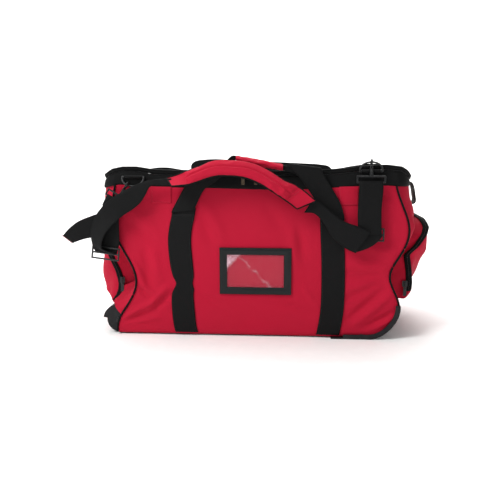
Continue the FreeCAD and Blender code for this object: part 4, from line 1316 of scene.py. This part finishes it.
def pad_path():
    """The pad's centre line, the directions across and along it, and half its width, as rows."""
    y = STRAP_Y - 12.0
    stations = [(-179, 350.5, 57, 17), (-158, 355, 50, 18), (-136, 361, 38, 18), (-86, 378, 35, 18.5),
                (-50, 380.5, 35, 18.5), (-11, 376, 35, 18.5), (25, 362, 34, 18.5), (62, 341, 28, 18.5),
                (90, 325, 14, 20), (117, 304, 5, 19.5)]
    rows = curve_through(stations, 7)
    centre, tilt, half = rows[:, :2], np.radians(rows[:, 2]), rows[:, 3]
    tangent = unit(np.gradient(centre, axis=0))
    radial = np.c_[-tangent[:, 1], tangent[:, 0]]
    across = np.c_[radial[:, 0] * np.cos(tilt), np.sin(tilt), radial[:, 1] * np.cos(tilt)]
    middle = np.c_[centre[:, 0], np.full(len(centre), y), centre[:, 1]]
    return middle, across, np.c_[tangent[:, 0], np.zeros(len(centre)), tangent[:, 1]], half


def shoulder_pad():
    """Two quilted channels over foam, flat sewn ends and a black backing."""
    middle, across, tangent, half = pad_path()
    face = np.cross(across, tangent)
    run = run_along(middle)
    sections = np.sin(np.linspace(-math.pi / 2, math.pi / 2, 27))
    tab, centre = 38.0, 13           # length of the flat ends, and the column where the channels meet
    top_rows, back_rows = [], []
    for i, at in enumerate(run):
        rest = run[-1] - at
        full = min(1.0, max(0.0, (min(at, rest) - tab) / 16)) ** 0.5
        slant = 10.5 * max(0.0, 1 - rest / 90) - 6.0 * max(0.0, 1 - at / 60)
        top, under = [], []
        for t in sections:
            swell = (1 - abs(t) ** 2.6) ** 0.55
            groove = 0.48 * math.exp(-(t / 0.075) ** 2)
            height = 1.6 + full * 10.5 * max(0, swell - groove)
            base = middle[i] + across[i] * t * half[i] + tangent[i] * t * slant
            top.append(base - face[i] * height)
            under.append(base + face[i] * (1.2 + full * 4.5 * swell))
        top_rows.append(top)
        back_rows.append(under)
    pts = np.array(top_rows)
    obj = grid_object("pad_cover", pts, PADDING)
    flat = np.minimum(run, run[-1] - run) < tab
    first, last = np.nonzero(~flat)[0][[0, -1]]
    pins = np.zeros(pts.shape[:2])
    pins[flat] = 1
    pins[:, 0] = pins[:, -1] = pins[:, centre] = 1
    drape(obj, pins.ravel(), frames=14, slack=0.03, pressure=1.2, gravity=0.1, cap=2.6, bend=0.3)
    subdivide(obj)
    thicken(obj, 1.0, 1.0)
    place(obj, "shoulder_strap", "red_padding", "shoulder_pad")
    back = grid_object("pad_backing", back_rows, BLACK_FABRIC, flip=True)
    subdivide(back)
    place(thicken(back, 1.0), "shoulder_strap", "black_fabric")
    edges = np.vstack([pts[:, 0], pts[::-1, -1]])
    binding = tube("pad_binding", edges, 1.5, BLACK_FABRIC, sides=8, closed=True)
    place(binding, "shoulder_strap", "black_fabric")
    seam = [p - face[i] * 0.4 for i, p in enumerate(pts[:, centre])]
    lines = [seam[first:last + 1], pts[first - 1, 2:-2] - face[first], pts[last + 1, 2:-2] - face[last]]
    place(stitches("pad_stitching", lines, RED_THREAD), "shoulder_strap", "red_padding")


# ---- pieces kept from the frame -----------------------------------------------------------------
def finish_nodes():
    """Materials for the hard pieces, and for the webbing tabs of the D-rings."""
    kinds = {
        BRONZE: "main_pull_left main_pull_right",
        METAL: "d_rings snap_hooks swivel_loops hook_gate_left hook_gate_right strap_slides main_slider_left "
               "main_slider_right left_pocket_slider right_pocket_slider left_pocket_pull right_pocket_pull "
               "wheel_axles",
        STEEL: "wheel_front_bearings wheel_back_bearings base_rivets",
        PLASTIC: "skid_guard end_guard wheel_housing_front wheel_housing_back wheel_front_hub wheel_back_hub",
        RUBBER: "wheel_front_tyre wheel_back_tyre",
        WEBBING: "ring_tabs",
    }
    for material, names in kinds.items():
        for name in names.split():
            mesh = NODES[name].data
            mesh.materials.clear()
            mesh.materials.append(material)


# ---- stage --------------------------------------------------------------------------------------
def stage():
    """Pale floor that curves up behind, soft lights and the camera."""
    scene = bpy.context.scene
    scene.view_settings.view_transform = "Standard"
    floor_material = moulded("floor_paper", (0.965, 0.965, 0.963), 0.9, grain=60, depth=0.00002)
    rows = []
    for y, z in [(-4, 0), (-2, 0), (0, 0), (2.0, 0), (2.6, 0.04), (3.1, 0.2), (3.4, 0.5), (3.5, 0.9),
                 (3.5, 2.5), (3.5, 5)]:
        rows.append([(x / MM, y / MM, z / MM) for x in np.linspace(-6, 6, 13)])
    floor = grid_object("studio_floor", rows, floor_material)

    world = bpy.data.worlds.new("studio")
    scene.world = world
    world.use_nodes = True
    background = world.node_tree.nodes["Background"]
    background.inputs[0].default_value = (1.0, 0.995, 0.985, 1)
    background.inputs[1].default_value = 0.36

    lamps = (("key", (-1.3, -1.35, 1.75), 0.9, 42), ("fill", (2.0, -1.9, 1.6), 2.0, 5),
             ("top", (-0.2, 0.3, 2.8), 2.2, 34), ("backdrop", (0.0, 1.8, 3.2), 2.6, 130))
    for name, at, size, power in lamps:
        light = bpy.data.lights.new(name, "AREA")
        light.size = size
        light.energy = power
        light.color = (1.0, 0.99, 0.98)
        lamp = bpy.data.objects.new(name, light)
        scene.collection.objects.link(lamp)
        lamp.location = at
        aim = Vector((0, 3.2, 0.9)) if name == "backdrop" else Vector((0, 0, 0.15))
        lamp.rotation_euler = (aim - Vector(at)).to_track_quat("-Z", "Y").to_euler()

    turn, distance, height = math.radians(4), 1.6, 0.42
    target = Vector((-0.02, 0, 0.170))
    lens = bpy.data.cameras.new("camera")
    lens.lens = 46
    lens.sensor_width = 36
    camera = bpy.data.objects.new("camera", lens)
    scene.collection.objects.link(camera)
    camera.location = (target.x + distance * math.sin(turn), target.y - distance * math.cos(turn), height)
    camera.rotation_euler = (target - camera.location).to_track_quat("-Z", "Y").to_euler()
    scene.camera = camera


def build():
    """The whole bag, from the shell outwards, and the studio round it."""
    shell = body_shell()
    tree = tree_of(shell)
    seam_piping(tree)
    corner_gores()
    base_sheet()
    inner_floor()
    for name in WEBS:
        body_web(name, tree)
    web_stitching(tree)
    sewn_patches(tree)
    card_holder(tree)
    collar_skin()
    middle = (COLLAR_TOP + LID_LOW) / 2
    zipper_half("collar_zip", COLLAR_TOP - 0.5, middle - 0.2, "bag", "collar_zipper_chain")
    zipper_half("lid_zip", middle + 0.2, LID_LOW + 0.5, "lid", "lid_zipper_chain")
    lid_skin()
    lid_piping()
    lid_hinge_cloth()
    for side in ("left", "right"):
        pocket(side, tree)
    front_handle(tree)
    handle_wrap()
    rear_handle(tree)
    grab_loops()
    strap_runs()
    strap_ends()
    shoulder_pad()
    finish_nodes()
    stage()


build()
